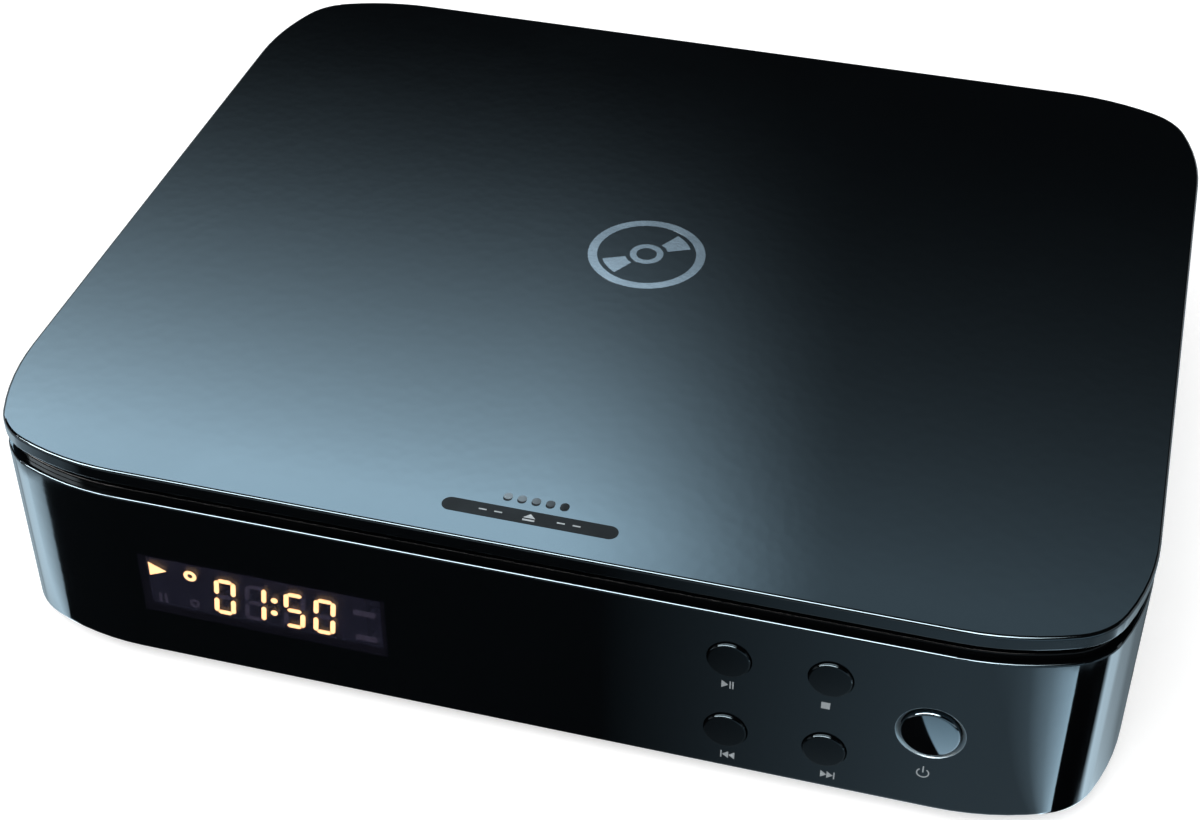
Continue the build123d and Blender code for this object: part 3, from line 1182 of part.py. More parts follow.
with BuildPart() as decoder_chip:
    with Locations((CHIP_X, CHIP_Y, MAIN_TOP)):
        Box(CHIP_SIDE, CHIP_SIDE, CHIP_HEIGHT, align=BOTTOM)
decoder_chip.part.label = "decoder_chip"
export_step(decoder_chip.part, "parts/decoder_chip.step")

with BuildPart() as heatsink:
    with Locations((CHIP_X, CHIP_Y, MAIN_TOP + CHIP_HEIGHT)):
        Box(SINK_SIDE, SINK_SIDE, SINK_BASE, align=BOTTOM)
    with Locations((CHIP_X, CHIP_Y, MAIN_TOP + CHIP_HEIGHT + SINK_BASE)):
        with GridLocations((SINK_SIDE - SINK_FIN) / (SINK_FINS - 1), 0, SINK_FINS, 1):
            Box(SINK_FIN, SINK_SIDE, SINK_RISE, align=BOTTOM)
heatsink.part.label = "heatsink"
export_step(heatsink.part, "parts/heatsink.step")

with BuildPart() as board_capacitors:
    for x, y, radius, height in CAPACITORS:
        round_post(x, y, MAIN_TOP, MAIN_TOP + height, radius)
    rims = board_capacitors.edges().filter_by(GeomType.CIRCLE)
    fillet(rims.filter_by(lambda rim: rim.center().Z > MAIN_TOP), SMALL_ROUND)
board_capacitors.part.label = "board_capacitors"
export_step(board_capacitors.part, "parts/board_capacitors.step")

with BuildPart() as av_block:
    block(BAY_X, (JACK_FACE - JACK_BLOCK, JACK_FACE), (MAIN_TOP, BAY_Z[1]))
    for x in JACK_PLACES:
        front_disc(x, JACK_Z, JACK_BACK, JACK_FACE, JACK_RADIUS, Mode.SUBTRACT)
av_block.part.label = "av_block"
export_step(av_block.part, "parts/av_block.step")

jack_mouth = REAR - JACK_SHY
insert_mouth = jack_mouth - INSERT_SHY
with BuildPart() as av_barrels:
    for x in JACK_PLACES:
        front_disc(x, JACK_Z, JACK_BACK, jack_mouth, JACK_RADIUS)
        front_disc(x, JACK_Z, JACK_BACK, jack_mouth, JACK_RADIUS - SHELL, Mode.SUBTRACT)
av_barrels.part.label = "av_barrels"
export_step(av_barrels.part, "parts/av_barrels.step")


def jack_insert(x):
    """Coloured insulator inside one jack, with the hole for the plug's pin."""
    front_disc(x, JACK_Z, JACK_BACK, insert_mouth, JACK_RADIUS - SHELL)
    front_disc(x, JACK_Z, JACK_BACK + SHELL, insert_mouth, JACK_PIN_HOLE, Mode.SUBTRACT)


with BuildPart() as av_insert_yellow:
    jack_insert(JACK_PLACES[2])
av_insert_yellow.part.label = "av_insert_yellow"
export_step(av_insert_yellow.part, "parts/av_insert_yellow.step")

with BuildPart() as av_insert_white:
    jack_insert(JACK_PLACES[1])
av_insert_white.part.label = "av_insert_white"
export_step(av_insert_white.part, "parts/av_insert_white.step")

with BuildPart() as av_insert_red:
    jack_insert(JACK_PLACES[0])
av_insert_red.part.label = "av_insert_red"
export_step(av_insert_red.part, "parts/av_insert_red.step")

with BuildPart() as hdmi_socket:
    with BuildSketch(Plane.XZ.offset(-HDMI_BACK)):
        with Locations((HDMI_X, HDMI_Z)):
            RectangleRounded(HDMI_WIDTH, HDMI_HEIGHT, HDMI_CORNER)
    extrude(amount=HDMI_BACK - REAR)
    with BuildSketch(Plane.XZ.offset(-REAR)):
        with Locations((HDMI_X, HDMI_Z)):
            RectangleRounded(HDMI_WIDTH - 2 * SHELL, HDMI_HEIGHT - 2 * SHELL, HDMI_CORNER - SHELL)
    extrude(amount=REAR - HDMI_BACK - SOCKET_FLOOR, mode=Mode.SUBTRACT)
    with BuildSketch(Plane.XZ.offset(-HDMI_BACK)):
        with Locations((HDMI_X, HDMI_Z)):
            Rectangle(*HDMI_TONGUE)
    extrude(amount=HDMI_BACK - REAR + TONGUE_SHY)
hdmi_socket.part.label = "hdmi_socket"
export_step(hdmi_socket.part, "parts/hdmi_socket.step")

with BuildPart() as dc_inlet:
    block((DC_X - DC_BODY, DC_X + DC_BODY), (DC_BACK, REAR_INSIDE), (MAIN_TOP, DC_Z + DC_BODY))
    front_disc(DC_X, DC_Z, REAR_INSIDE, REAR + BUTTON_PROUD, DC_RADIUS)
    fillet(dc_inlet.edges().group_by(Axis.Y)[-1], SMALL_ROUND)
    front_disc(DC_X, DC_Z, DC_BACK + SOCKET_FLOOR, REAR + BUTTON_PROUD, DC_BORE, Mode.SUBTRACT)
    front_disc(DC_X, DC_Z, DC_BACK + SOCKET_FLOOR, REAR - TONGUE_SHY, DC_PIN)
dc_inlet.part.label = "dc_inlet"
export_step(dc_inlet.part, "parts/dc_inlet.step")

with BuildPart() as card_socket:
    slot_z = (CARD_Z - CARD_SLOT / 2, CARD_Z + CARD_SLOT / 2)
    shell_y = (CARD_Y[0] - SHELL, CARD_Y[1] + SHELL)
    block((CARD_BACK, RIGHT_INSIDE - CARD_GAP), shell_y, (SIDE_TOP, slot_z[1] + SHELL))
    block((CARD_BACK + SOCKET_FLOOR, RIGHT_INSIDE), CARD_Y, slot_z, mode=Mode.SUBTRACT)
card_socket.part.label = "card_socket"
export_step(card_socket.part, "parts/card_socket.step")

with BuildPart() as usb_socket:
    usb_y = (USB_Y - USB_WIDTH / 2, USB_Y + USB_WIDTH / 2)
    usb_z = (SIDE_TOP, SIDE_TOP + USB_HEIGHT)
    block((USB_BACK, RIGHT), usb_y, usb_z)
    block(
        (USB_BACK + SOCKET_FLOOR, RIGHT),
        (usb_y[0] + SHELL, usb_y[1] - SHELL),
        (usb_z[0] + SHELL, usb_z[1] - SHELL),
        mode=Mode.SUBTRACT,
    )
    tongue_top = usb_z[1] - USB_TONGUE_DROP
    block(
        (USB_BACK, RIGHT - TONGUE_SHY),
        (usb_y[0] + USB_TONGUE_SIDE, usb_y[1] - USB_TONGUE_SIDE),
        (tongue_top - USB_TONGUE, tongue_top),
    )
usb_socket.part.label = "usb_socket"
export_step(usb_socket.part, "parts/usb_socket.step")

# ---------------------------------------------------------------------------------------------
# Lid springs
# ---------------------------------------------------------------------------------------------
with BuildPart() as hinge_springs:
    for side in (-1, 1):
        near = ear_in + SPRING_GAP + SPRING_WIRE
        length = SPRING_ROOM - 2 * (SPRING_GAP + SPRING_WIRE)
        with BuildLine() as turns:
            Helix(
                length / SPRING_TURNS,
                length,
                PIN_RADIUS + RUNNING + SPRING_WIRE,
                center=(side * near, HINGE_Y, HINGE_Z),
                direction=(side, 0, 0),
            )
        with BuildSketch(Plane(origin=turns.line @ 0, z_dir=turns.line % 0)) as wire:
            Circle(SPRING_WIRE)
        sweep(wire.sketch, path=turns.line)
        for end, way in ((0, -1), (1, 1)):
            run = Vector(0, (turns.line % end).Y, (turns.line % end).Z).normalized() * way
            with BuildSketch(Plane(origin=turns.line @ end - run * SPRING_WIRE, z_dir=run)) as leg:
                Circle(SPRING_WIRE)
            extrude(leg.sketch, amount=SPRING_LEG)
hinge_springs.part.label = "hinge_springs"
export_step(hinge_springs.part, "parts/hinge_springs.step")
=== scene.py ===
# %% [markdown]
# # A compact top-loading disc player
# The real object is a flat box of gloss black plastic. Its whole top is a lid, and a dark groove runs
# round below it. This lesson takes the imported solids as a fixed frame, gives every surface a finish, adds
# the small printed and lit pieces, and then lights the gloss so that its reflections draw the form.

# %% Load the fixed frame
import json
import math

import bmesh
import bpy
from mathutils import Matrix, Vector


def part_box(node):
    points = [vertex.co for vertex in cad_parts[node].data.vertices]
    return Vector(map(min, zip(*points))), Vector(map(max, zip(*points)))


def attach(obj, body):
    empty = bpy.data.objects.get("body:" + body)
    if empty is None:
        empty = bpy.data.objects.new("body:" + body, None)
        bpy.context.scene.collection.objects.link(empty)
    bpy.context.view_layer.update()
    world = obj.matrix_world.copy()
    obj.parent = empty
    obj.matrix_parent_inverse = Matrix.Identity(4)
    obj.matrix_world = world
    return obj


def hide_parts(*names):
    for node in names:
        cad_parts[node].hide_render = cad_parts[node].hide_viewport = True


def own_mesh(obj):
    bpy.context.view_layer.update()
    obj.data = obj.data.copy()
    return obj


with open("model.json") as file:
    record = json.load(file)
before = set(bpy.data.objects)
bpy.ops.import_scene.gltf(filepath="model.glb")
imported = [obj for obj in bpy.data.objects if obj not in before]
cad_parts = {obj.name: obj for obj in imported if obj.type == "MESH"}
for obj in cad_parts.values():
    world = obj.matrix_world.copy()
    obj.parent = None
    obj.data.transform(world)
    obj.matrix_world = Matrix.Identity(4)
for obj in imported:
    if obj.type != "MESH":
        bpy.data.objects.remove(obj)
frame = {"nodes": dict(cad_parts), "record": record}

scene = bpy.context.scene
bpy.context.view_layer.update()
MM = 0.001
slot_of = {part["node"]: part["material_slot"] for part in frame["record"]["subparts"]}
body_of = {node: body for body, nodes in frame["record"]["behaviour"]["bodies"].items() for node in nodes}

# %% [markdown]
# ## Node helpers
# Every finish is a small node tree, and the same few nodes come again and again: products and sums, a
# value spread over a range, a colour between two others, a cloudy noise. A helper for each of them keeps
# the trees readable. Each adds its node and gives back the socket that the next node reads.

# %% Helpers for sums and ranges
def add(tree, kind, inputs=None, **settings):
    """A node with its settings, and with values or links on its inputs."""
    node = tree.nodes.new(kind)
    for name, value in settings.items():
        setattr(node, name, value)
    for name, value in (inputs or {}).items():
        if isinstance(value, bpy.types.NodeSocket):
            tree.links.new(value, node.inputs[name])
        else:
            node.inputs[name].default_value = value
    return node


def maths(tree, operation, first, second=0.0, clamp=False):
    """The result of one Math node."""
    return add(tree, "ShaderNodeMath", {0: first, 1: second}, operation=operation, use_clamp=clamp).outputs[0]


def times(tree, first, second, clamp=False):
    """The product of two values."""
    return maths(tree, "MULTIPLY", first, second, clamp)


def plus(tree, first, second):
    """The sum of two values."""
    return maths(tree, "ADD", first, second)


def minus(tree, first, second):
    """The first value less the second."""
    return maths(tree, "SUBTRACT", first, second)


def shared(tree, share, first, second):
    """A share of the first value, and the rest of the second."""
    return plus(tree, times(tree, first, share), times(tree, second, 1.0 - share))


def spread(tree, value, start, end, low=0.0, high=1.0, smooth=False):
    """Goes from low to high while the value goes from start to end, and stays there outside them."""
    sockets = {"Value": value, "From Min": start, "From Max": end, "To Min": low, "To Max": high}
    curve = "SMOOTHSTEP" if smooth else "LINEAR"
    return add(tree, "ShaderNodeMapRange", sockets, interpolation_type=curve).outputs["Result"]


# %% Helpers for colours, patterns and places
def mix(tree, share, first, second):
    """The first colour where share is 0, and the second where it is 1."""
    sockets = {"Factor": share, "A": first, "B": second}
    return add(tree, "ShaderNodeMix", sockets, data_type="RGBA").outputs["Result"]


def noise(tree, where, scale, detail, **more):
    """A cloudy value."""
    sockets = {"Vector": where, "Scale": scale, "Detail": detail, **more}
    return add(tree, "ShaderNodeTexNoise", sockets).outputs["Fac"]


def cells(tree, where, scale):
    """The distance to the nearest of many scattered points."""
    return add(tree, "ShaderNodeTexVoronoi", {"Vector": where, "Scale": scale}, feature="F1").outputs["Distance"]


def own_place(tree, kind="Object"):
    """Where a point is, in the object's own measures."""
    return add(tree, "ShaderNodeTexCoord").outputs[kind]


def split(tree, vector):
    """The X, Y and Z of a vector."""
    return add(tree, "ShaderNodeSeparateXYZ", {"Vector": vector}).outputs


# %% [markdown]
# ## Effects that several finishes share
# Handled gloss is never quite even: fingers and cloths leave faint patches that change the sharpness of
# a reflection. Moulded plastic has a fine grain. Edges are rubbed a little brighter. Each of these is
# one node group with its own named inputs, so that a material only says how much of it there is.

# %% Helpers for node groups
def new_group(name, amounts, outputs):
    """A shader node group that reads a place and some amounts, and its two end nodes."""
    group = bpy.data.node_groups.new(name, "ShaderNodeTree")
    group.interface.new_socket("Vector", in_out="INPUT", socket_type="NodeSocketVector")
    for title, value in amounts.items():
        made = group.interface.new_socket(title, in_out="INPUT", socket_type="NodeSocketFloat")
        made.default_value = value
    for title in outputs:
        group.interface.new_socket(title, in_out="OUTPUT", socket_type="NodeSocketFloat")
    return group, group.nodes.new("NodeGroupInput").outputs, group.nodes.new("NodeGroupOutput").inputs


def place_group(tree, group, where, amounts):
    """The outputs of a node group, placed once in a material."""
    return add(tree, "ShaderNodeGroup", {"Vector": where, **amounts}, node_tree=group).outputs


# %% Group: smudges
smudges, ins, outs = new_group("smudges", {"Patch Size": 0.03, "Amount": 0.03}, ["Value"])
tree = smudges
per_metre = maths(tree, "DIVIDE", 1.0, ins["Patch Size"])
soft = noise(tree, ins["Vector"], per_metre, detail=3.0, Distortion=0.6)
fine = noise(tree, ins["Vector"], times(tree, per_metre, 9.0), detail=2.0)
patches = spread(tree, shared(tree, 0.75, soft, fine), start=0.4, end=0.68, smooth=True)
tree.links.new(times(tree, patches, ins["Amount"]), outs["Value"])
print("group smudges:", len(tree.nodes), "nodes")

# %% Group: moulded grain
moulded_grain, ins, outs = new_group("moulded_grain", {"Grain Size": 0.0006}, ["Height", "Shade"])
tree = moulded_grain
per_metre = maths(tree, "DIVIDE", 1.0, ins["Grain Size"])
grains = cells(tree, ins["Vector"], per_metre)
cloud = noise(tree, ins["Vector"], times(tree, per_metre, 0.6), detail=3.0)
tree.links.new(shared(tree, 0.6, grains, cloud), outs["Height"])
wide = noise(tree, ins["Vector"], times(tree, per_metre, 0.02), detail=4.0)
tree.links.new(wide, outs["Shade"])
print("group moulded_grain:", len(tree.nodes), "nodes")

# %% Group: rubbed edges
rubbed_edges, ins, outs = new_group("rubbed_edges", {"Width": 0.0004, "Amount": 0.5}, ["Mask"])
tree = rubbed_edges
rounded = add(tree, "ShaderNodeBevel", {"Radius": ins["Width"]}, samples=4).outputs["Normal"]
flat = add(tree, "ShaderNodeNewGeometry").outputs["Normal"]
alike = add(tree, "ShaderNodeVectorMath", {0: rounded, 1: flat}, operation="DOT_PRODUCT").outputs["Value"]
at_edge = spread(tree, alike, start=0.995, end=0.86)
broken = noise(tree, ins["Vector"], scale=420.0, detail=4.0, Roughness=0.7)
patchy = spread(tree, broken, start=0.35, end=0.7)
rubbed = times(tree, at_edge, patchy, clamp=True)
tree.links.new(times(tree, rubbed, ins["Amount"]), outs["Mask"])
print("group rubbed_edges:", len(tree.nodes), "nodes")

# %% Group: settled dust
settled_dust, ins, outs = new_group("settled_dust", {"Amount": 0.2}, ["Mask"])
tree = settled_dust
specks = spread(tree, cells(tree, ins["Vector"], scale=900.0), start=0.1, end=0.04)
somewhere = spread(tree, noise(tree, ins["Vector"], scale=60.0, detail=3.0), start=0.52, end=0.7)
upward = split(tree, add(tree, "ShaderNodeNewGeometry").outputs["Normal"])["Z"]
facing_up = spread(tree, upward, start=0.6, end=1.0)
lying = times(tree, times(tree, specks, somewhere, clamp=True), facing_up, clamp=True)
tree.links.new(times(tree, lying, ins["Amount"]), outs["Mask"])
print("group settled_dust:", len(tree.nodes), "nodes")

# %% [markdown]
# ## The plastic and metal finishes
# Most pieces are one base colour with the shared effects on top. The function below builds that tree:
# grain feeds a bump, smudges feed the roughness, and rubbed edges and dust lighten the colour. Values
# that are the same all over a surface sit on the shader's own sockets.

# %% A finish from the shared effects
DUST_GREY = (0.35, 0.36, 0.37, 1)
GRAIN_RELIEF = 0.25           # height of the grain, as a share of its size


def new_material(name, plain):
    """A material with plain values on its shader; its tree and the shader's inputs."""
    material = bpy.data.materials.new(name)
    material.use_nodes = True
    sockets = material.node_tree.nodes["Principled BSDF"].inputs
    for socket, value in plain.items():
        sockets[socket].default_value = value
    return material, material.node_tree, sockets


def finish(name, colour, roughness, metallic=0.0, grain=0.0006, bump=0.1, smudge=0.04, patch=0.03,
           worn=0.3, worn_colour=None, edge=0.0003, dust=0.0, mottle=0.12, tint=(1.0, 1.0, 1.0), specular=0.5):
    """A material: base colour, grain, smudges, rubbed edges and dust."""
    material, tree, shader = new_material(
        name, {"Metallic": metallic, "Specular Tint": (*tint, 1.0), "Specular IOR Level": specular})
    where = own_place(tree)
    grained = place_group(tree, moulded_grain, where, {"Grain Size": grain})
    darker = tuple(value * (1.0 - mottle) for value in colour)
    shown = mix(tree, grained["Shade"], (*darker, 1), (*colour, 1))
    rubbed = place_group(tree, rubbed_edges, where, {"Width": edge, "Amount": worn})
    lighter = worn_colour or tuple(min(1.0, value * 1.8 + 0.02) for value in colour)
    shown = mix(tree, rubbed["Mask"], shown, (*lighter, 1))
    if dust:
        dusty = place_group(tree, settled_dust, where, {"Amount": dust})
        shown = mix(tree, dusty["Mask"], shown, DUST_GREY)
    tree.links.new(shown, shader["Base Color"])
    smudged = place_group(tree, smudges, where, {"Patch Size": patch, "Amount": smudge})
    tree.links.new(plus(tree, smudged["Value"], roughness), shader["Roughness"])
    relief = {"Height": grained["Height"], "Strength": bump, "Distance": grain * GRAIN_RELIEF}
    tree.links.new(add(tree, "ShaderNodeBump", relief).outputs["Normal"], shader["Normal"])
    return material


# %% [markdown]
# ### Piano black
# The casing is polished black. Black gloss has almost no colour of its own, so what is seen is what it
# reflects. In the photograph those reflections are steel blue, as from a blue-tinted hard coat, so the
# reflection at normal incidence is tinted a little. The keys and the deck in the groove reflect less,
# and the power button more.

# %% Finishes of the casing
COAT_TINT = (0.66, 0.87, 1.0)
CASING = {
    "gloss_black": dict(colour=(0.0011, 0.0013, 0.0016), roughness=0.07, smudge=0.025, patch=0.05,
                        grain=0.0025, bump=0.012, worn=0.06, edge=0.0002, dust=0.04, tint=COAT_TINT),
    "button_black": dict(colour=(0.0010, 0.0011, 0.0013), roughness=0.07, smudge=0.03, patch=0.006,
                         grain=0.002, bump=0.01, worn=0.05, edge=0.00015, tint=COAT_TINT, specular=0.22),
    "power_gloss": dict(colour=(0.0015, 0.0018, 0.0022), roughness=0.045, smudge=0.02, patch=0.006,
                        bump=0.0, worn=0.03, edge=0.00015, tint=COAT_TINT, specular=1.0),
    "deck_gloss": dict(colour=(0.0016, 0.0018, 0.0021), roughness=0.09, smudge=0.05, patch=0.03,
                       grain=0.001, bump=0.02, worn=0.15, edge=0.0002, dust=0.15, specular=0.09),
    "ring_dark": dict(colour=(0.25, 0.30, 0.33), roughness=0.42, metallic=1.0, smudge=0.04, patch=0.006,
                      bump=0.02, worn=0.10, edge=0.00015),
    "inner_black": dict(colour=(0.013, 0.0135, 0.0145), roughness=0.36, smudge=0.12, grain=0.0005,
                        bump=0.2, worn=0.35, dust=0.25),
    "base_grey": dict(colour=(0.045, 0.045, 0.048), roughness=0.55, smudge=0.12, grain=0.0007, bump=0.3,
                      worn=0.4),
    "rubber_black": dict(colour=(0.02, 0.02, 0.02), roughness=0.72, smudge=0.15, grain=0.0004, bump=0.35,
                         worn=0.25),
}
finishes = {name: finish(name, **look) for name, look in CASING.items()}
print("casing finishes:", sorted(CASING))

# %% [markdown]
# ### Metals
# Zinc-plated screws and pressed steel are grey and a little uneven, spring wire is brighter, and socket
# shells are nickel. They share the tree above with a high metallic value and finer smudges.

# %% Finishes of the metals
METALS = {
    "steel": ((0.56, 0.57, 0.58), 0.30),
    "spring_steel": ((0.52, 0.52, 0.54), 0.24),
    "nickel": ((0.70, 0.69, 0.66), 0.20),
    "aluminium_fin": ((0.62, 0.63, 0.65), 0.38),
}
for name, (colour, roughness) in METALS.items():
    finishes[name] = finish(name, colour, roughness, metallic=1.0, grain=0.0004, bump=0.06, smudge=0.14,
                            patch=0.008, worn=0.5, edge=0.0002, mottle=0.2)
print("metal finishes:", sorted(METALS))

# %% [markdown]
# ### Moulded small parts
# Natural acetal gears are creamy and slightly waxy, jack inserts are bright moulded colours that follow
# the usual code for picture and sound, and chips and capacitor sleeves are plain dark mouldings.

# %% Finishes of the small mouldings
MOULDED = {
    "chip_black": ((0.018, 0.018, 0.019), 0.5),
    "sled_black": ((0.028, 0.028, 0.030), 0.4),
    "capacitor_sleeve": ((0.02, 0.03, 0.10), 0.28),
    "gear_white": ((0.74, 0.72, 0.66), 0.38),
    "jack_yellow": ((0.78, 0.52, 0.03), 0.34),
    "jack_white": ((0.78, 0.78, 0.75), 0.34),
    "jack_red": ((0.55, 0.02, 0.02), 0.34),
}
for name, (colour, roughness) in MOULDED.items():
    finishes[name] = finish(name, colour, roughness, grain=0.0005, bump=0.12, smudge=0.1, patch=0.006,
                            worn=0.3, edge=0.0002)
print("moulded finishes:", sorted(MOULDED))

# %% [markdown]
# ### Circuit board
# A board is green solder mask over copper. The tracks show through as lighter lines with right-angled
# turns, so a brick pattern with thin mortar gives the tracks and a fine noise breaks up the mask.

# %% Finish of the circuit boards
TRACK_GREEN = (0.05, 0.24, 0.09)
TRACK_SHOW = 0.55             # how far the tracks show through the mask


def lay_over(material, mask, colour):
    """Lays a colour over a finish, as far as the mask says."""
    tree = material.node_tree
    base = tree.nodes["Principled BSDF"].inputs["Base Color"]
    tree.links.new(mix(tree, mask, base.links[0].from_socket, (*colour, 1)), base)


board = finish("board_green", (0.012, 0.10, 0.045), 0.3, grain=0.0008, bump=0.05, worn=0.5,
               worn_colour=(0.30, 0.27, 0.14), edge=0.0003)
tree = board.node_tree
bricks = {"Vector": own_place(tree), "Scale": 90.0, "Mortar Size": 0.016, "Brick Width": 0.9, "Row Height": 0.13}
tracks = add(tree, "ShaderNodeTexBrick", bricks, offset=0.35).outputs["Fac"]
lay_over(board, times(tree, tracks, TRACK_SHOW), TRACK_GREEN)
finishes["board_green"] = board
print("board finish:", len(tree.nodes), "nodes")

# %% [markdown]
# ### Smoked window and lens
# The display window is a plate of smoked plastic: clear enough for lit segments, dark enough to hide the
# rest. It is a glass-like shader with a dark purple colour. The pickup lens is clear with a violet coat.

# %% Finishes of the window and the lens
def clear_finish(name, colour, roughness, ior, clearness):
    """Clear or smoked plastic with faint smudges."""
    material = finish(name, colour, roughness, smudge=0.02, patch=0.012, bump=0.0, worn=0.0, mottle=0.06,
                      tint=COAT_TINT)
    shader = material.node_tree.nodes["Principled BSDF"]
    shader.inputs["Transmission Weight"].default_value = clearness
    shader.inputs["IOR"].default_value = ior
    return material


finishes["smoked_window"] = clear_finish("smoked_window", (0.10, 0.092, 0.155), 0.0, ior=1.5, clearness=0.955)
finishes["lens_glass"] = clear_finish("lens_glass", (0.62, 0.58, 0.86), 0.02, ior=1.6, clearness=1.0)
print("clear finishes: smoked_window, lens_glass")

# %% Put the finishes on the frame
for name, node in frame["nodes"].items():
    node.data.materials.clear()
    node.data.materials.append(finishes[slot_of[name]])
display_black = finish("display_black", (0.002, 0.002, 0.003), 0.5, worn=0.0)
frame["nodes"]["display_module"].data.materials[0] = display_black
print("finishes on", len(frame["nodes"]), "nodes by their material slots")

# %% [markdown]
# ## Smooth copies of the curved pieces
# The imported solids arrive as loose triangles, so a curved gloss wall would show flat facets in its
# reflections. The curved pieces are copied, their doubled points merged, and their faces shaded smooth
# up to a set angle. Where a flat face meets a fillet, the shared points take the flat face's own
# direction: on gloss, an averaged one would bend the reflection across the whole flat face.

# %% Directions for shading
SMOOTH_ANGLE = math.radians(32)
NO_ANGLE = 4.0                # stands for the angle of an edge that has none
SAME_PLANE = 0.999998         # cosine between faces that count as one plane
LARGE_PLANE = 3e-6            # square metres


def plane_of_each_face(bm):
    """For each face the area and direction of the whole plane that it is part of."""
    plane = {}
    for first in bm.faces:
        if first in plane:
            continue
        members, waiting = {first}, [first]
        while waiting:
            face = waiting.pop()
            for other in (near for edge in face.edges for near in edge.link_faces):
                if other not in members and other not in plane and first.normal.dot(other.normal) > SAME_PLANE:
                    members.add(other)
                    waiting.append(other)
        area = sum(face.calc_area() for face in members)
        for face in members:
            plane[face] = (area, first.normal.copy())
    return plane


def smooth_groups(vert):
    """The faces round a point, in groups that no sharp edge divides."""
    left = set(vert.link_faces)
    while left:
        group = [left.pop()]
        for face in group:
            for edge in face.edges:
                two_sided = vert in edge.verts and len(edge.link_faces) == 2
                if two_sided and edge.calc_face_angle(NO_ANGLE) < SMOOTH_ANGLE:
                    near = [other for other in edge.link_faces if other in left]
                    left.difference_update(near)
                    group.extend(near)
        yield group


def shading_directions(bm):
    """A direction for each corner: the largest plane's where one meets there, else the weighted mean."""
    plane = plane_of_each_face(bm)
    directions = {}
    for vert in bm.verts:
        for group in smooth_groups(vert):
            area, normal = max((plane[face] for face in group), key=lambda item: item[0])
            if area < LARGE_PLANE:
                normal = sum((face.normal * face.calc_area() for face in group), Vector()).normalized()
            for face in group:
                directions[face.index, vert.index] = normal
    return directions


# %% Helpers for new pieces
def merge_and_smooth(bm, reach):
    """Merges points within reach, removes faces with no area and shades the rest smooth."""
    bmesh.ops.remove_doubles(bm, verts=bm.verts, dist=reach)
    bmesh.ops.dissolve_degenerate(bm, edges=bm.edges, dist=reach / 2)
    for face in bm.faces:
        face.smooth = True


def new_object(bm, name, material):
    """Makes a bmesh an object of the scene."""
    mesh = bpy.data.meshes.new(name)
    bm.to_mesh(mesh)
    bm.free()
    mesh.materials.append(material)
    made = bpy.data.objects.new(name, mesh)
    scene.collection.objects.link(made)
    return made


def register(piece, body, slot, nodes=()):
    """Ties a new piece to its body and hides the nodes it stands for. The slot is not used."""
    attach(piece, body)
    if nodes:
        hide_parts(*nodes)
    return piece


# %% A smooth copy of a node
COPY_REACH = 0.002 * MM


def smooth_copy(node, material=None):
    """The node's own form, merged and shaded smooth."""
    bm = bmesh.new()
    bm.from_mesh(frame["nodes"][node].data)
    merge_and_smooth(bm, COPY_REACH)
    bm.verts.index_update()
    bm.faces.index_update()
    bm.normal_update()
    directions = shading_directions(bm)
    piece = new_object(bm, node + "_smooth", material or finishes[slot_of[node]])
    mesh = piece.data
    mesh.set_sharp_from_angle(angle=SMOOTH_ANGLE)
    mesh.normals_split_custom_set([directions[face.index, mesh.loops[loop].vertex_index]
                                   for face in mesh.polygons for loop in face.loop_indices])
    return register(piece, body_of[node], slot_of[node], [node])


smooth_copy("disc_deck", finishes["deck_gloss"])
CURVED = ["main_housing", "lid_cover", "lid_liner", "rubber_feet", "turntable", "spindle_motor", "feed_motor",
          "av_barrels", "dc_inlet", "guide_rods", "hinge_pins", "hinge_arms", "pickup_sled",
          "chassis_grommets", "hub_balls", "lid_bumpers"]
for node in CURVED:
    smooth_copy(node)
print("smooth copies:", len(CURVED) + 1)

# %% [markdown]
# The coil under the latch slider is shorter when the slider is pressed. Its copy is given a mesh of its own.

# %% The latch spring
spring = smooth_copy("latch_spring")
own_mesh(spring)

# %% [markdown]
# ## Buttons and the power ring
# Real keys are turned mouldings with a rounded rim that catches the light. The solid has the cap, the
# collar behind the wall and the stem. One half profile is spun once round the button's own line, so the
# rim can be a true quarter round. The power button is more domed and sits in a countersunk ring.

# %% Turned pieces
SPIN_STEPS = 96
RIM_STEPS = 6                 # in the quarter round of a rim
TURNED_REACH = 0.001 * MM
cad_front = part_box("main_housing")[0].y
lid_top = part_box("lid_cover")[1].z


def turned(name, node, profile, slot, material, rounded=()):
    """Spins a profile of (radius, y) points about the node's own line; some corners are rounded first."""
    low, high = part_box(node)
    middle = (low + high) / 2
    bm = bmesh.new()
    verts = [bm.verts.new((radius, y, 0.0)) for radius, y in profile]
    closed = profile[0][0] > 0
    for pair in zip(verts, verts[1:] + verts[:1] if closed else verts[1:]):
        bm.edges.new(pair)
    for corner, width in rounded:
        bmesh.ops.bevel(bm, geom=[verts[corner]], offset=width, offset_type="OFFSET", segments=RIM_STEPS,
                        profile=0.5, affect="VERTICES", material=-1)
    bmesh.ops.spin(bm, geom=bm.verts[:] + bm.edges[:], cent=(0, 0, 0), axis=(0, 1, 0),
                   angle=math.radians(360), steps=SPIN_STEPS, use_merge=True)
    merge_and_smooth(bm, TURNED_REACH)
    bmesh.ops.recalc_face_normals(bm, faces=bm.faces)
    bmesh.ops.translate(bm, vec=(middle.x, 0.0, middle.z), verts=bm.verts)
    piece = new_object(bm, name, material)
    piece.data.set_sharp_from_angle(angle=SMOOTH_ANGLE)
    return register(piece, body_of[node], slot, [node])


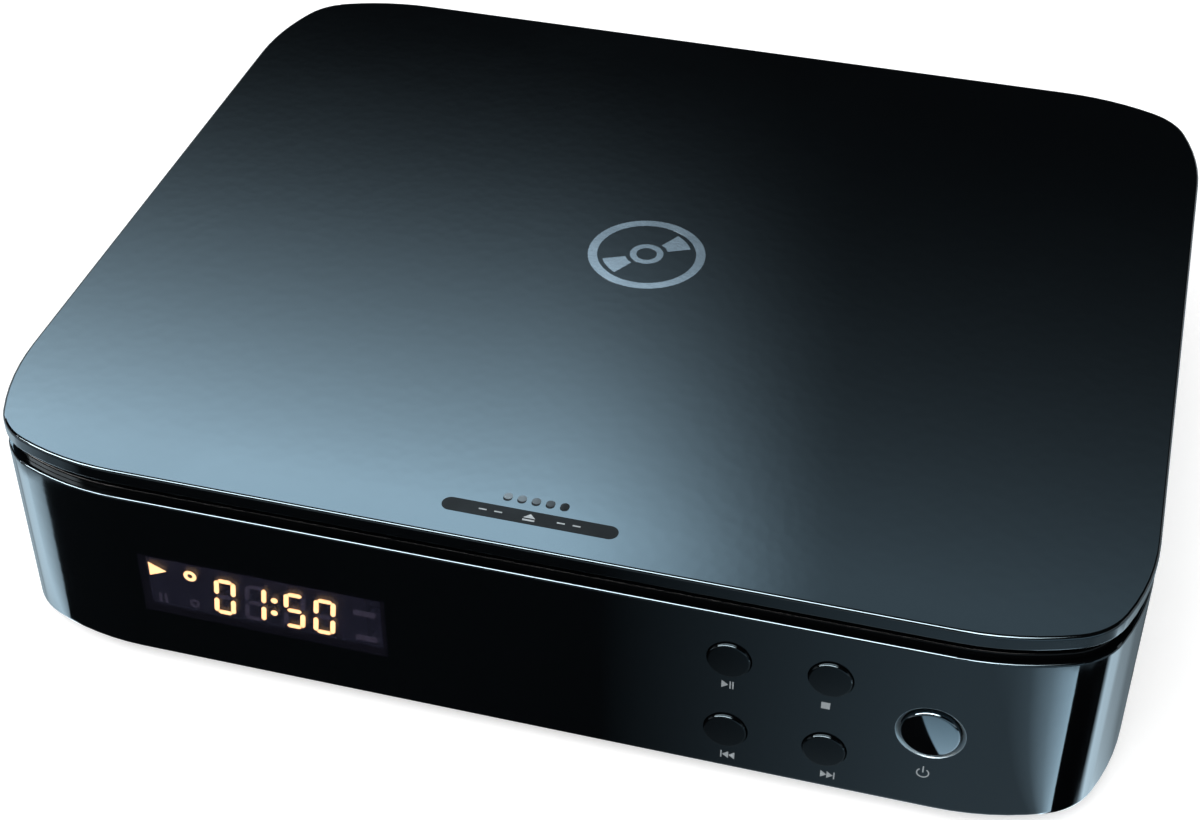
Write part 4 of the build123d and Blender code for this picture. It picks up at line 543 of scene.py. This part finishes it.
def dome(radius, crown, rim, count=10):
    """Points of a spherical cap from its crown, on the line, to its rim."""
    drop = rim - crown
    ball = (radius ** 2 + drop ** 2) / (2 * drop)
    edge = math.asin(radius / ball)
    return [(ball * math.sin(edge * step / count), crown + ball * (1 - math.cos(edge * step / count)))
            for step in range(count + 1)]


# %% Keys and power button
COLLAR = 1.0 * MM             # collar behind the wall: how far out, and how deep
STEM = 2.3 * MM
WALL_BACK = cad_front + 2.5 * MM
CAP_FALL = 0.22 * MM          # drop of a key's face from its middle to its rim
CAP_ROUND = 0.62 * MM         # quarter round of that rim
POWER_FALL = 0.45 * MM        # the power button is larger and more domed
POWER_ROUND = 0.5 * MM


def button(node, material, crown, rim, rounding):
    """A button: domed face, rounded rim, collar and stem."""
    low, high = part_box(node)
    radius = (high.x - low.x) / 2 - COLLAR
    face = dome(radius, crown, rim)
    back = [(radius, WALL_BACK), (radius + COLLAR, WALL_BACK), (radius + COLLAR, WALL_BACK + COLLAR),
            (STEM, WALL_BACK + COLLAR), (STEM, high.y), (0.0, high.y)]
    rim_corner = len(face) - 1
    return turned(node + "_turned", node, face + back, "button_black", material, [(rim_corner, rounding)])


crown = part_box("play_button")[0].y
for node in ("play_button", "stop_button", "previous_button", "next_button"):
    button(node, finishes["button_black"], crown, crown + CAP_FALL, CAP_ROUND)
power_button = button("power_button", finishes["power_gloss"], crown, crown + POWER_FALL, POWER_ROUND)
print("turned: four keys and the power button")

# %% Power ring
RING_LIP = 0.06 * MM          # flat outer lip
RING_WIDTH = 0.82 * MM        # lip and slope together
RING_FALL = 0.78 * MM         # how far in the slope goes
ring_low, ring_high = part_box("power_ring")
ring_out = (ring_high.x - ring_low.x) / 2
ring_in = ring_out - RING_WIDTH
turned("power_ring_turned", "power_ring",
       [(ring_out, cad_front), (ring_out - RING_LIP, cad_front), (ring_in, cad_front + RING_FALL),
        (ring_in, ring_high.y), (ring_out, ring_high.y)], "ring_dark", finishes["ring_dark"])
print("power ring:", round(2 * ring_out / MM, 2), "mm across")

# %% [markdown]
# ## Flat drawings
# Display segments and printed signs are flat shapes with a little thickness. Four helpers draw them: a bar
# from a one-square grid, a triangle and a dot from a circle, and a ring from a short edge that is spun.
# The drawings are in millimetres, and the helpers turn them into metres.

# %% Bars, triangles, dots and rings
def bar(bm, x, y, width, height, mitre=0.0, steps=1):
    """A flat bar about a centre, with its corners cut or rounded by mitre."""
    made = bmesh.ops.create_grid(bm, x_segments=1, y_segments=1, size=0.5)["verts"]
    bmesh.ops.scale(bm, vec=(width * MM, height * MM, 1.0), verts=made)
    bmesh.ops.translate(bm, vec=(x * MM, y * MM, 0.0), verts=made)
    if mitre:
        bmesh.ops.bevel(bm, geom=made, offset=mitre * MM, segments=steps, profile=0.5, affect="VERTICES",
                        material=-1)


def triangle(bm, x, y, width, height, turn=0.0):
    """A flat triangle that points right, or turned by some degrees, from a three-sided circle."""
    made = bmesh.ops.create_circle(bm, cap_ends=True, segments=3, radius=1.0)["verts"]
    bmesh.ops.rotate(bm, cent=(0, 0, 0), matrix=Matrix.Rotation(math.radians(-90), 3, "Z"), verts=made)
    bmesh.ops.scale(bm, vec=(width * MM / 1.5, height * MM / math.sqrt(3), 1.0), verts=made)
    middle = (min(vert.co.x for vert in made) + max(vert.co.x for vert in made)) / 2
    bmesh.ops.translate(bm, vec=(-middle, 0.0, 0.0), verts=made)
    bmesh.ops.rotate(bm, cent=(0, 0, 0), matrix=Matrix.Rotation(math.radians(turn), 3, "Z"), verts=made)
    bmesh.ops.translate(bm, vec=(x * MM, y * MM, 0.0), verts=made)


def dot(bm, x, y, radius):
    """A flat round dot."""
    made = bmesh.ops.create_circle(bm, cap_ends=True, segments=32, radius=radius * MM)["verts"]
    bmesh.ops.translate(bm, vec=(x * MM, y * MM, 0.0), verts=made)


def ring(bm, x, y, inner, outer, start=0.0, sweep=360.0, steps=72):
    """A flat ring, or part of one, spun from a short radial edge. Angles run from the +X side."""
    turn = Matrix.Rotation(math.radians(start), 3, "Z")
    centre = Vector((x * MM, y * MM, 0))
    near, far = (bm.verts.new(turn @ Vector((radius * MM, 0, 0)) + centre) for radius in (inner, outer))
    edge = bm.edges.new((near, far))
    bmesh.ops.spin(bm, geom=[near, far, edge], cent=centre, axis=(0, 0, 1), angle=math.radians(sweep),
                   steps=steps, use_merge=sweep == 360.0)


# %% A piece from a flat drawing
def placed(x, y, z, tilt=0.0, turn=0.0):
    """Tilts a flat shape about the X line, then turns it about the upright, in degrees, and moves it."""
    return (Matrix.Translation((x, y, z)) @ Matrix.Rotation(math.radians(turn), 4, "Z")
            @ Matrix.Rotation(math.radians(tilt), 4, "X"))


def front_place(x, z, depth):
    """Lays a drawing upright, facing the front, depth behind the front face."""
    return placed(x * MM, cad_front + depth * MM, z * MM, tilt=90)


def flat_piece(bm, name, place, thickness, body, slot, material):
    """Gives a drawing its thickness and its place, and makes it a piece."""
    bmesh.ops.recalc_face_normals(bm, faces=bm.faces)
    for face in bm.faces:
        if face.normal.z < 0:
            face.normal_flip()
    bmesh.ops.solidify(bm, geom=bm.faces[:], thickness=thickness * MM)
    bmesh.ops.recalc_face_normals(bm, faces=bm.faces)
    bmesh.ops.transform(bm, matrix=place, verts=bm.verts)
    return register(new_object(bm, name, material), body, slot)


print("front face at", round(cad_front / MM, 2), "mm, lid top at", round(lid_top / MM, 2), "mm")

# %% [markdown]
# ## Lit display
# Behind the smoked window a small module shows four slanted digits of seven segments. Each segment is a
# bar with mitred ends that glows amber, and redder towards its rim. The segments that are off still
# glow faintly: a painted glow, as they give no light of their own.

# %% Finishes of the segments
def glow(name, colour, strength, rim):
    """A glowing segment: bright in the middle, redder towards its rim; the segments that are off get a faint
    painted glow.
    """
    material, tree, shader = new_material(
        name, {"Roughness": 0.5, "Base Color": (0.02, 0.015, 0.015, 1), "Emission Strength": strength})
    where = own_place(tree)
    uneven = noise(tree, where, scale=500.0, detail=2.0)
    warm = mix(tree, times(tree, uneven, 0.3), (*colour, 1), (*rim, 1))
    edge = place_group(tree, rubbed_edges, where, {"Width": 0.0004, "Amount": 1.0})
    tree.links.new(mix(tree, edge["Mask"], warm, (*rim, 1)), shader["Emission Color"])
    return material


lit = glow("segment_lit", (1.0, 0.72, 0.22), strength=22.0, rim=(1.0, 0.22, 0.025))
# Segments that are off: a faint painted glow, though they give no light.
unlit_painted_glow = glow("segment_unlit", (0.50, 0.46, 0.42), strength=0.55, rim=(0.30, 0.26, 0.24))
print("segment finishes: lit and unlit")

# %% Segments of a digit
SEGMENT = 1.02                # width of a segment
MITRE = SEGMENT * 0.40
DIGIT_WIDTH = 4.5
DIGIT_HEIGHT = 9.5


def segments_of(bm, left, names):
    """The named segments of one digit, from its left edge. a is the top, then clockwise, g the middle."""
    tall = DIGIT_HEIGHT / 2
    right = left + DIGIT_WIDTH
    middle = (left + right) / 2
    across = DIGIT_WIDTH - SEGMENT * 1.55
    upright = tall - SEGMENT * 1.05
    inset = SEGMENT / 2
    places = {
        "a": (middle, tall - inset, across, SEGMENT), "g": (middle, 0.0, across, SEGMENT),
        "d": (middle, inset - tall, across, SEGMENT), "b": (right - inset, tall / 2, SEGMENT, upright),
        "c": (right - inset, -tall / 2, SEGMENT, upright), "e": (left + inset, -tall / 2, SEGMENT, upright),
        "f": (left + inset, tall / 2, SEGMENT, upright),
    }
    for name in names:
        bar(bm, *places[name], MITRE)


print("one digit:", DIGIT_WIDTH, "by", DIGIT_HEIGHT, "mm")

# %% Digits and colon
DIGITS = (0, 1, 5, 0)
DIGIT_LEFT = (-62.75, -56.35, -48.25, -42.05)
DIGIT_Z = 22.3
SHOWN = {0: "abcdef", 1: "bc", 5: "acdfg"}
SLANT = math.tan(math.radians(5.5))
BEHIND = 1.75                 # segments sit just behind the window
LIFT = -0.95                  # seen through the window from above, they look higher than they are
SEGMENT_THICK = 0.05
COLON_X = -50.2


def behind_window(bm, name, material):
    """A piece of the display."""
    place = front_place(0.0, DIGIT_Z + LIFT, BEHIND)
    flat_piece(bm, name, place, SEGMENT_THICK, "root", "smoked_window", material)


lean = Matrix.Identity(4)
lean[0][1] = SLANT
for title, material, chosen in (("lit", lit, True), ("unlit_painted_glow", unlit_painted_glow, False)):
    bm = bmesh.new()
    for left, digit in zip(DIGIT_LEFT, DIGITS):
        segments_of(bm, left, [name for name in "abcdefg" if (name in SHOWN[digit]) == chosen])
    if chosen:
        for y in (1.75, -1.65):
            ring(bm, COLON_X, y, 0.0001, 0.72, steps=16)
    bmesh.ops.transform(bm, matrix=lean, verts=bm.verts)
    behind_window(bm, "digits_" + title, material)
print("display: digits", DIGITS)

# %% Small signs of the display
SIGN_Y = 3.95                 # height of the lit signs above the middle of the digits
bm = bmesh.new()
triangle(bm, -74.2, SIGN_Y, 3.7, 3.5)
behind_window(bm, "play_sign_lit", lit)
bm = bmesh.new()
ring(bm, -67.4, SIGN_Y, 0.55, 1.35, steps=40)
behind_window(bm, "disc_sign_lit", lit)
bm = bmesh.new()
for x in (-74.6, -73.4):
    bar(bm, x, -3.5, 0.6, 2.4)
ring(bm, -67.3, -3.4, 0.5, 1.1, steps=24)
for y in (3.0, -3.6):
    bar(bm, -31.4, y, 4.6, 1.5, mitre=0.3)
behind_window(bm, "signs_unlit", unlit_painted_glow)
print("display signs: play and disc lit, the others off")

# %% [markdown]
# ## Printed signs
# Below each button a small sign is printed in grey ink: play and pause, stop, previous, next and power.
# They are flat drawings a few hundredths of a millimetre thick, made from triangles, bars and rings.

# %% Ink and signs on the front
ink = finish("printed_ink", (0.30, 0.33, 0.35), 0.5, grain=0.0003, bump=0.15, smudge=0.1, worn=0.0, mottle=0.3)
INK = 0.03                    # thickness of a print
STROKE = 0.26                 # width of a thin line


def play_pause(bm):
    """A triangle and two strokes."""
    triangle(bm, -0.45, 0.0, 1.3, 1.9)
    for x in (0.55, 1.08):
        bar(bm, x, 0.0, STROKE, 1.9)


def stop_sign(bm):
    """A square."""
    bar(bm, 0.0, 0.0, 1.65, 1.65)


def skip(bm, way):
    """A stroke with two triangles before it, to the right with way 1 and to the left with way -1."""
    bar(bm, way * 1.3, 0.0, STROKE, 1.85)
    for x in (0.5, -0.7):
        triangle(bm, way * x, 0.0, 1.2, 1.85, turn=90 - way * 90)


def power_sign(bm):
    """An open ring with a stroke in its gap."""
    ring(bm, 0.0, -0.2, 0.98, 1.24, start=125, sweep=290, steps=48)
    bar(bm, 0.0, 0.75, STROKE, 1.6)


SIGNS = {
    "play_pause_sign": (40.0, 25.8, play_pause),
    "stop_sign": (58.4, 25.35, stop_sign),
    "previous_sign": (40.8, 6.8, lambda bm: skip(bm, -1)),
    "next_sign": (59.9, 6.9, lambda bm: skip(bm, 1)),
    "power_sign": (77.4, 12.9, power_sign),
}
for name, (x, z, draw) in SIGNS.items():
    bm = bmesh.new()
    draw(bm)
    flat_piece(bm, name, front_place(x, z, -INK), INK, "root", "gloss_black", ink)
print("signs on the front:", len(SIGNS))

# %% [markdown]
# ## Marks on the lid
# At the front edge a dark pill shows where to push, with a plain open sign and short bars printed in it,
# and behind it five dots mark the place for the finger. Each dot is a grey disc of painted reflection over
# a darker disc of painted shade that lies a little nearer the front, and the row fades to dark towards the
# right as the lid's reflection does. In the middle of the lid a disc is drawn in mirror ink: two plain
# rings, with two curved glints between them.

# %% Inks of the lid, and the dots' painted reflection
mirror_ink = finish("mirror_ink", (0.30, 0.33, 0.36), 0.16, metallic=1.0, grain=0.0008, bump=0.03, smudge=0.05,
                    patch=0.01, worn=0.0)
# The pill's dark ink, also used for the painted shade under the finger dots.
pill_ink_and_painted_shade = finish("pill_ink_and_painted_shade", (0.003, 0.0034, 0.004), 0.3, grain=0.0006, bump=0.05, smudge=0.06, patch=0.01,
                  worn=0.0, specular=0.09)
pale_ink = finish("pale_ink", (0.42, 0.47, 0.50), 0.45, grain=0.0003, bump=0.1, smudge=0.1, worn=0.0, mottle=0.2)
# The dots' colour is not an ink. It is a painted reflection of the lid's light, fading to dark towards the
# right.
dot_painted_reflection = finish("dot_painted_reflection", (0.26, 0.33, 0.38), 0.35, grain=0.0005, bump=0.05, smudge=0.08, worn=0.0,
                 specular=0.1)
DOTS_X = [step * 2.74 for step in (-2, -1, 0, 1, 2)]
DOT_REFLECTION_DARK = (0.004, 0.005, 0.006)
tree = dot_painted_reflection.node_tree
across = split(tree, own_place(tree))["X"]
# Painted reflection: the dots darken towards the right, as the lid's reflection does.
lay_over(dot_painted_reflection, spread(tree, across, DOTS_X[0] * MM, DOTS_X[-1] * MM, low=0.1), DOT_REFLECTION_DARK)
print("inks of the lid: mirror, pill, pale and dot")

# %% Pill, dots and disc on the lid
PILL_Y = -85.0
PILL = (33.8, 3.55)
PILL_ROUND = 1.74
DOTS_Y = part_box("lid_cover")[0].y / MM + 13.05
DOT_RADIUS = 0.86
# Painted shade: a darker disc lies this far nearer the front under each dot, for the shade on its front side.
DOT_SHADE = 0.46              # the dark lower edge of each dot
DISC_Y = 2.0


def on_lid(bm, name, y, layer, material):
    """A flat piece on the lid's top face, for prints and for the finger dots' painted shade and painted
    reflection. Layer 2 lies on layer 1.
    """
    place = placed(0.0, y * MM, lid_top + layer * INK * MM)
    flat_piece(bm, name, place, INK, "lid", "gloss_black", material)


bm = bmesh.new()
bar(bm, 0.0, 0.0, *PILL, mitre=PILL_ROUND, steps=10)
on_lid(bm, "push_pill", PILL_Y, 1, pill_ink_and_painted_shade)
bm = bmesh.new()
triangle(bm, 0.0, 0.4, 1.15, 2.3, turn=90)
bar(bm, 0.0, -0.75, 2.3, 0.42)
for x in (-9.0, -6.0, 6.0, 9.0):
    bar(bm, x, 0.0, 1.5, 0.3)
on_lid(bm, "push_sign", PILL_Y, 2, pale_ink)
# The lower discs are painted shade on each dot's front side; the upper ones are the dots' painted reflection.
for name, y, layer, material in (("finger_dot_shades", DOTS_Y - DOT_SHADE, 1, pill_ink_and_painted_shade),
                                 ("finger_dots", DOTS_Y, 2, dot_painted_reflection)):
    bm = bmesh.new()
    for x in DOTS_X:
        dot(bm, x, y, DOT_RADIUS)
    on_lid(bm, name, 0.0, layer, material)
bm = bmesh.new()
ring(bm, 0.0, 0.0, 10.6, 12.6, steps=96)
ring(bm, 0.0, 0.0, 2.2, 3.6, steps=48)
for start in (25.0, 205.0):
    ring(bm, 0.0, 0.0, 4.6, 9.6, start=start, sweep=34.0, steps=12)
on_lid(bm, "disc_mark", DISC_Y, 1, mirror_ink)
print("marks on the lid: pill, open sign,", len(DOTS_X), "dots, disc")

# %% [markdown]
# ## Screw heads
# The flat-headed screws have a cross recess. Cutting it into each head would change the frame, so a
# shallow dark cross is laid in the head, just proud of it: painted shade, where an eye reads it as the
# recess.

# %% Cross recesses
# Painted shade: the dark colour stands for the shade inside a cross recess.
recess = finish("recess_shadow", (0.012, 0.012, 0.013), 0.6, worn=0.0, bump=0.0)
HEADS_APART = 8 * MM          # no two screws of a node stand nearer than this
HEAD_LEVEL = 0.01 * MM        # points this near the end of a screw are on its head
PROUD = 0.02                  # how far a cross stands out, and how thick it is
ARM_WIDTH = 0.22              # of a cross, as a share of its length


def crosses(name, node, below, body, size):
    """A dark cross of painted shade on every screw head of a node; below says that the heads look down."""
    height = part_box(node)[0 if below else 1].z
    points = [vert.co for vert in frame["nodes"][node].data.vertices]
    at_head = [point.to_2d() for point in points if abs(point.z - height) < HEAD_LEVEL]
    centres = []
    for point in at_head:
        if all((point - centre).length > HEADS_APART for centre in centres):
            near = [other for other in at_head if (other - point).length < HEADS_APART]
            centres.append(sum(near, Vector((0, 0))) / len(near))
    bm = bmesh.new()
    for x, y in (centre / MM for centre in centres):
        bar(bm, x, y, size, size * ARM_WIDTH)
        bar(bm, x, y, size * ARM_WIDTH, size)
    place = placed(0.0, 0.0, height + (-PROUD if below else PROUD) * MM)
    flat_piece(bm, name, place, PROUD, body, "steel", recess)
    print(name, len(centres))


crosses("base_screw_recesses", "base_screws", True, "root", 2.6)
crosses("deck_screw_recesses", "deck_screws", False, "root", 2.6)
crosses("liner_screw_recesses", "liner_screws", True, "lid", 1.8)

# %% [markdown]
# ## Floor and surroundings
# The floor is plain and pale. To the camera, and to gloss and glass, it is white where it is lit and
# keeps the player's shadow. The world is white near the horizon and dark above, like a white sweep in a
# dark studio, and matte surfaces get a plain even light from it.

# %% Floor
FLOOR_HALF = 30.0             # metres from the middle to an edge
FLOOR_GREY = 0.84
FLOOR_GLOW = 0.50             # added to what the floor reflects, for the camera, gloss and glass


def seen(tree):
    """1 for a ray from the camera and for one in gloss or glass, else 0."""
    path = add(tree, "ShaderNodeLightPath").outputs
    mirrored = maths(tree, "MAXIMUM", path["Is Glossy Ray"], path["Is Transmission Ray"])
    return maths(tree, "MAXIMUM", path["Is Camera Ray"], mirrored)


paper, tree, shader = new_material(
    "floor_paper", {"Base Color": (FLOOR_GREY, FLOOR_GREY, FLOOR_GREY, 1), "Roughness": 0.9,
                    "Specular IOR Level": 0.1, "Emission Color": (1, 1, 1, 1)})
tree.links.new(times(tree, seen(tree), FLOOR_GLOW), shader["Emission Strength"])
bm = bmesh.new()
bmesh.ops.create_grid(bm, x_segments=1, y_segments=1, size=FLOOR_HALF)
new_object(bm, "floor", paper)
print("floor:", round(2 * FLOOR_HALF), "m square, staged")

# %% World
SWEEP_TURN = (0.20, 0.34)     # sine of the height where the sweep goes from white to dark
SWEEP_DARK = 0.012
EVEN_LIGHT = 0.55             # what matte surfaces get from all round
world = bpy.data.worlds.new("sweep")
scene.world = world
world.use_nodes = True
tree = world.node_tree
tree.nodes.clear()
height = split(tree, own_place(tree, "Generated"))["Z"]
sweep = spread(tree, height, *SWEEP_TURN, low=1.0, high=SWEEP_DARK, smooth=True)
backdrop = add(tree, "ShaderNodeBackground", {"Color": (1, 1, 1, 1), "Strength": sweep}).outputs[0]
even = add(tree, "ShaderNodeBackground", {"Color": (1, 1, 1, 1), "Strength": EVEN_LIGHT}).outputs[0]
either = add(tree, "ShaderNodeMixShader", {0: seen(tree), 1: even, 2: backdrop}).outputs[0]
add(tree, "ShaderNodeOutputWorld", {"Surface": either})
print("world: white to dark between", SWEEP_TURN)

# %% Key lamp
lamp = bpy.data.lights.new("soft_key", "SUN")
lamp.energy = 1.5
lamp.angle = math.radians(50)
key = bpy.data.objects.new("soft_key", lamp)
key.rotation_euler = (math.radians(34), math.radians(-16), 0)
key.visible_glossy = False
scene.collection.objects.link(key)
print("one soft key lamp")

# %% [markdown]
# ## Cards for the gloss
# Black gloss shows only what stands round it, so a photographer builds its look from cards. A tall card
# behind the player fades downwards and to the right: the lid picks up that fade. A card on the floor
# carries light and dark fans that leave from the front corners: the upright walls pick those up. Only
# reflections see the cards.

# %% A card that only reflections see
SKY = (0.69, 0.88, 1.0)
WHITE = (1.0, 0.98, 0.95)


def card(name, place, width, height, build, colour=SKY):
    """A flat stage piece seen by glossy rays alone; build makes its strength from a position."""
    material, tree, _ = new_material(name, {})
    tree.nodes.clear()
    strength = build(tree, split(tree, own_place(tree)))
    shine = add(tree, "ShaderNodeEmission", {"Color": (*colour, 1), "Strength": strength}).outputs[0]
    add(tree, "ShaderNodeOutputMaterial", {"Surface": shine})
    bm = bmesh.new()
    bmesh.ops.create_grid(bm, x_segments=1, y_segments=1, size=0.5)
    bmesh.ops.scale(bm, vec=(width, height, 1.0), verts=bm.verts)
    bmesh.ops.transform(bm, matrix=place, verts=bm.verts)
    piece = new_object(bm, name, material)
    for rays in ("camera", "diffuse", "transmission", "volume_scatter", "shadow"):
        setattr(piece, "visible_" + rays, False)
    return piece


# %% Tall card behind the player
TALL_CURVE = 2.6              # the power of its fade upwards
TALL_PEAK = 9.1
TALL_LEAST = 0.015


def tall_fade(tree, where):
    """Fades to dark downwards, by a power, and to the right."""
    rise = maths(tree, "POWER", spread(tree, where["Z"], start=0.33, end=0.703), TALL_CURVE)
    across = spread(tree, where["X"], start=-0.22, end=-0.02, low=1.0, high=0.14, smooth=True)
    return plus(tree, times(tree, times(tree, rise, across), TALL_PEAK), TALL_LEAST)


card("tall_card", placed(-0.5, 0.6, 0.56, tilt=90), 1.8, 0.46, tall_fade)
print("tall card behind")

# %% [markdown]
# A fan is a pattern of light and dark rays from one point on the floor. Its stops say how bright each
# direction is, in degrees from the front. Far from its point a fan takes other stops, which only the
# lid's rim reflects.

# %% Stops of the fans
RIGHT_FAN = dict(
    corner=(0.0994, -0.0872), side=1.0, edge=(0.0655, 0.0685),
    near=[(0, 0.68), (16, 1.15), (30, 3.0), (43, 6.4), (54, 7.0), (55, 0.0), (97, 0.0), (113, 3.7), (130, 1.5),
          (145, 0.4), (160, 0.15), (180, 0.1)],
    far=[(0, 0.65), (30, 0.75), (60, 0.6), (90, 0.6), (115, 1.3), (140, 0.6), (180, 0.3)])
LEFT_FAN = dict(
    corner=(-0.0965, -0.090), side=-1.0, edge=(0.0705, 0.0740),
    near=[(0, 0.0), (66, 0.0), (67, 2.4), (82, 5.0), (98, 3.0), (112, 0.8), (180, 0.8)],
    far=[(0, 0.0), (40, 0.0), (70, 1.0), (95, 2.0), (120, 1.1), (180, 0.4)])
FAN_PEAK = 7.0
BEND = (0.0144, 0.016)        # the distance to edge runs from a point this far in from the corner
print("fans:", len(RIGHT_FAN["near"]), "and", len(LEFT_FAN["near"]), "near stops")

# %% One fan
def fan_ramp(tree, share, stops):
    """A colour ramp from stops of (degrees, strength)."""
    ramp = add(tree, "ShaderNodeValToRGB", {"Fac": share})
    ramp.color_ramp.interpolation = "LINEAR"
    first, last = ramp.color_ramp.elements
    first.position, last.position = stops[0][0] / 180, stops[-1][0] / 180
    for degrees, _ in stops[1:-1]:
        ramp.color_ramp.elements.new(degrees / 180)
    for element, (_, strength) in zip(ramp.color_ramp.elements, stops):
        element.color = (strength / FAN_PEAK,) * 3 + (1,)
    return ramp.outputs["Color"]


def fan(tree, where, corner, side, near, far, edge):
    """Strength by the compass angle round a corner, in degrees from the front towards one side."""
    across = times(tree, minus(tree, where["X"], corner[0]), side)
    forward = minus(tree, corner[1], where["Y"])
    angle = maths(tree, "ARCTAN2", across, forward)
    share = maths(tree, "DIVIDE", angle, math.pi)
    aside, ahead = plus(tree, across, BEND[0]), plus(tree, forward, BEND[1])
    away = maths(tree, "POWER", plus(tree, times(tree, aside, aside), times(tree, ahead, ahead)), 0.5)
    light = mix(tree, spread(tree, away, *edge), fan_ramp(tree, share, near), fan_ramp(tree, share, far))
    return angle, times(tree, light, FAN_PEAK)


# %% Fans on the floor
FADE_FROM = (0.09, 0.175)     # the front's fade is drawn by angles round this point
FADE_ANGLES = (math.radians(-15.5), math.radians(-2))
FADE_STRENGTH = (0.02, 0.7)
BACK_START = (-0.035, 0.05)   # the fans end here, and an even light goes on behind them
PLAIN = 0.55


def floor_fans(tree, where):
    """Both corner fans, and between them a fade that starts right of the middle."""
    right_angle, right = fan(tree, where, **RIGHT_FAN)
    left_angle, left = fan(tree, where, **LEFT_FAN)
    on_right, on_left = (maths(tree, "GREATER_THAN", angle, 0.0) for angle in (right_angle, left_angle))
    across, forward = minus(tree, where["X"], FADE_FROM[0]), minus(tree, FADE_FROM[1], where["Y"])
    fade = spread(tree, maths(tree, "ARCTAN2", across, forward), *FADE_ANGLES, *FADE_STRENGTH)
    beside = plus(tree, fade, times(tree, left, on_left))
    kept = times(tree, beside, minus(tree, 1.0, on_right))
    before = plus(tree, kept, times(tree, right, on_right))
    behind = spread(tree, where["Y"], *BACK_START, smooth=True)
    return plus(tree, times(tree, before, minus(tree, 1.0, behind)), times(tree, behind, PLAIN))


fans = card("floor_fans", placed(0.0, 0.0, 0.0003), 1.4, 1.4, floor_fans)
print("fans on the floor: both corners")

# %% [markdown]
# The power button is domed, so it draws together light from a wide field. On the real one a black and a
# light half meet on a slanted line. Light linking gives that button a small card of its own on the
# floor, which no other piece reflects, and hides the large fans from it.

# %% A card for the power button alone
GLINT_AT = (0.0815, -0.1006)  # a point of the slanted line
GLINT_SLANT = 0.32
GLINT_BLUR = 0.0006


def power_glint(tree, where):
    """Light to the right of a slanted line, dimmer away from the player."""
    beyond = times(tree, minus(tree, where["Y"], GLINT_AT[1]), GLINT_SLANT)
    past = minus(tree, minus(tree, where["X"], GLINT_AT[0]), beyond)
    near = spread(tree, where["Y"], start=-0.17, end=-0.10, low=1.3, high=3.2)
    return times(tree, spread(tree, past, start=0.0, end=GLINT_BLUR), near)


glint = card("power_glint", placed(0.10, -0.15, 0.0006), 0.16, 0.12, power_glint)
tree = glint.data.materials[0].node_tree
clear = add(tree, "ShaderNodeBsdfTransparent").outputs[0]
through = add(tree, "ShaderNodeAddShader", {0: tree.nodes["Emission"].outputs[0], 1: clear}).outputs[0]
tree.links.new(through, tree.nodes["Material Output"].inputs["Surface"])
for piece, state in ((glint, "INCLUDE"), (fans, "EXCLUDE")):
    linked = bpy.data.collections.new(piece.name + "_linked")
    linked.objects.link(power_button)
    linked.collection_objects[0].light_linking.link_state = state
    piece.light_linking.receiver_collection = linked
print("power button: its own card")

# %% Strip overhead and softbox at the right
def strip_light(tree, where):
    """Even and hot, and fading out to the right of the player."""
    return spread(tree, where["X"], start=0.22, end=0.5, low=52.0, high=0.0)


def softbox_light(tree, where):
    """Fades out upwards."""
    return spread(tree, where["Z"], start=0.05, end=0.5, low=2.6, high=0.3)


card("strip_overhead", placed(-0.6, -0.515, 0.95, tilt=180), 2.2, 0.47, strip_light, WHITE)
card("softbox_right", placed(0.80, -0.95, 0.26, tilt=90, turn=28), 1.6, 0.5, softbox_light)
print("strip overhead and softbox")

# %% [markdown]
# ## Camera
# The camera stands to the right of the front and looks down, where the edges of lid and body in the
# photograph put it.

# %% Camera
view = bpy.data.cameras.new("camera")
view.sensor_width = 36.0
view.lens = 64.04
camera = bpy.data.objects.new("camera", view)
camera.location = (0.08911, -0.36201, 0.31390)
camera.rotation_euler = (math.radians(50.69), 0.0, math.radians(15.28))
scene.collection.objects.link(camera)
scene.camera = camera
scene.view_settings.view_transform = "Standard"
print("camera set")
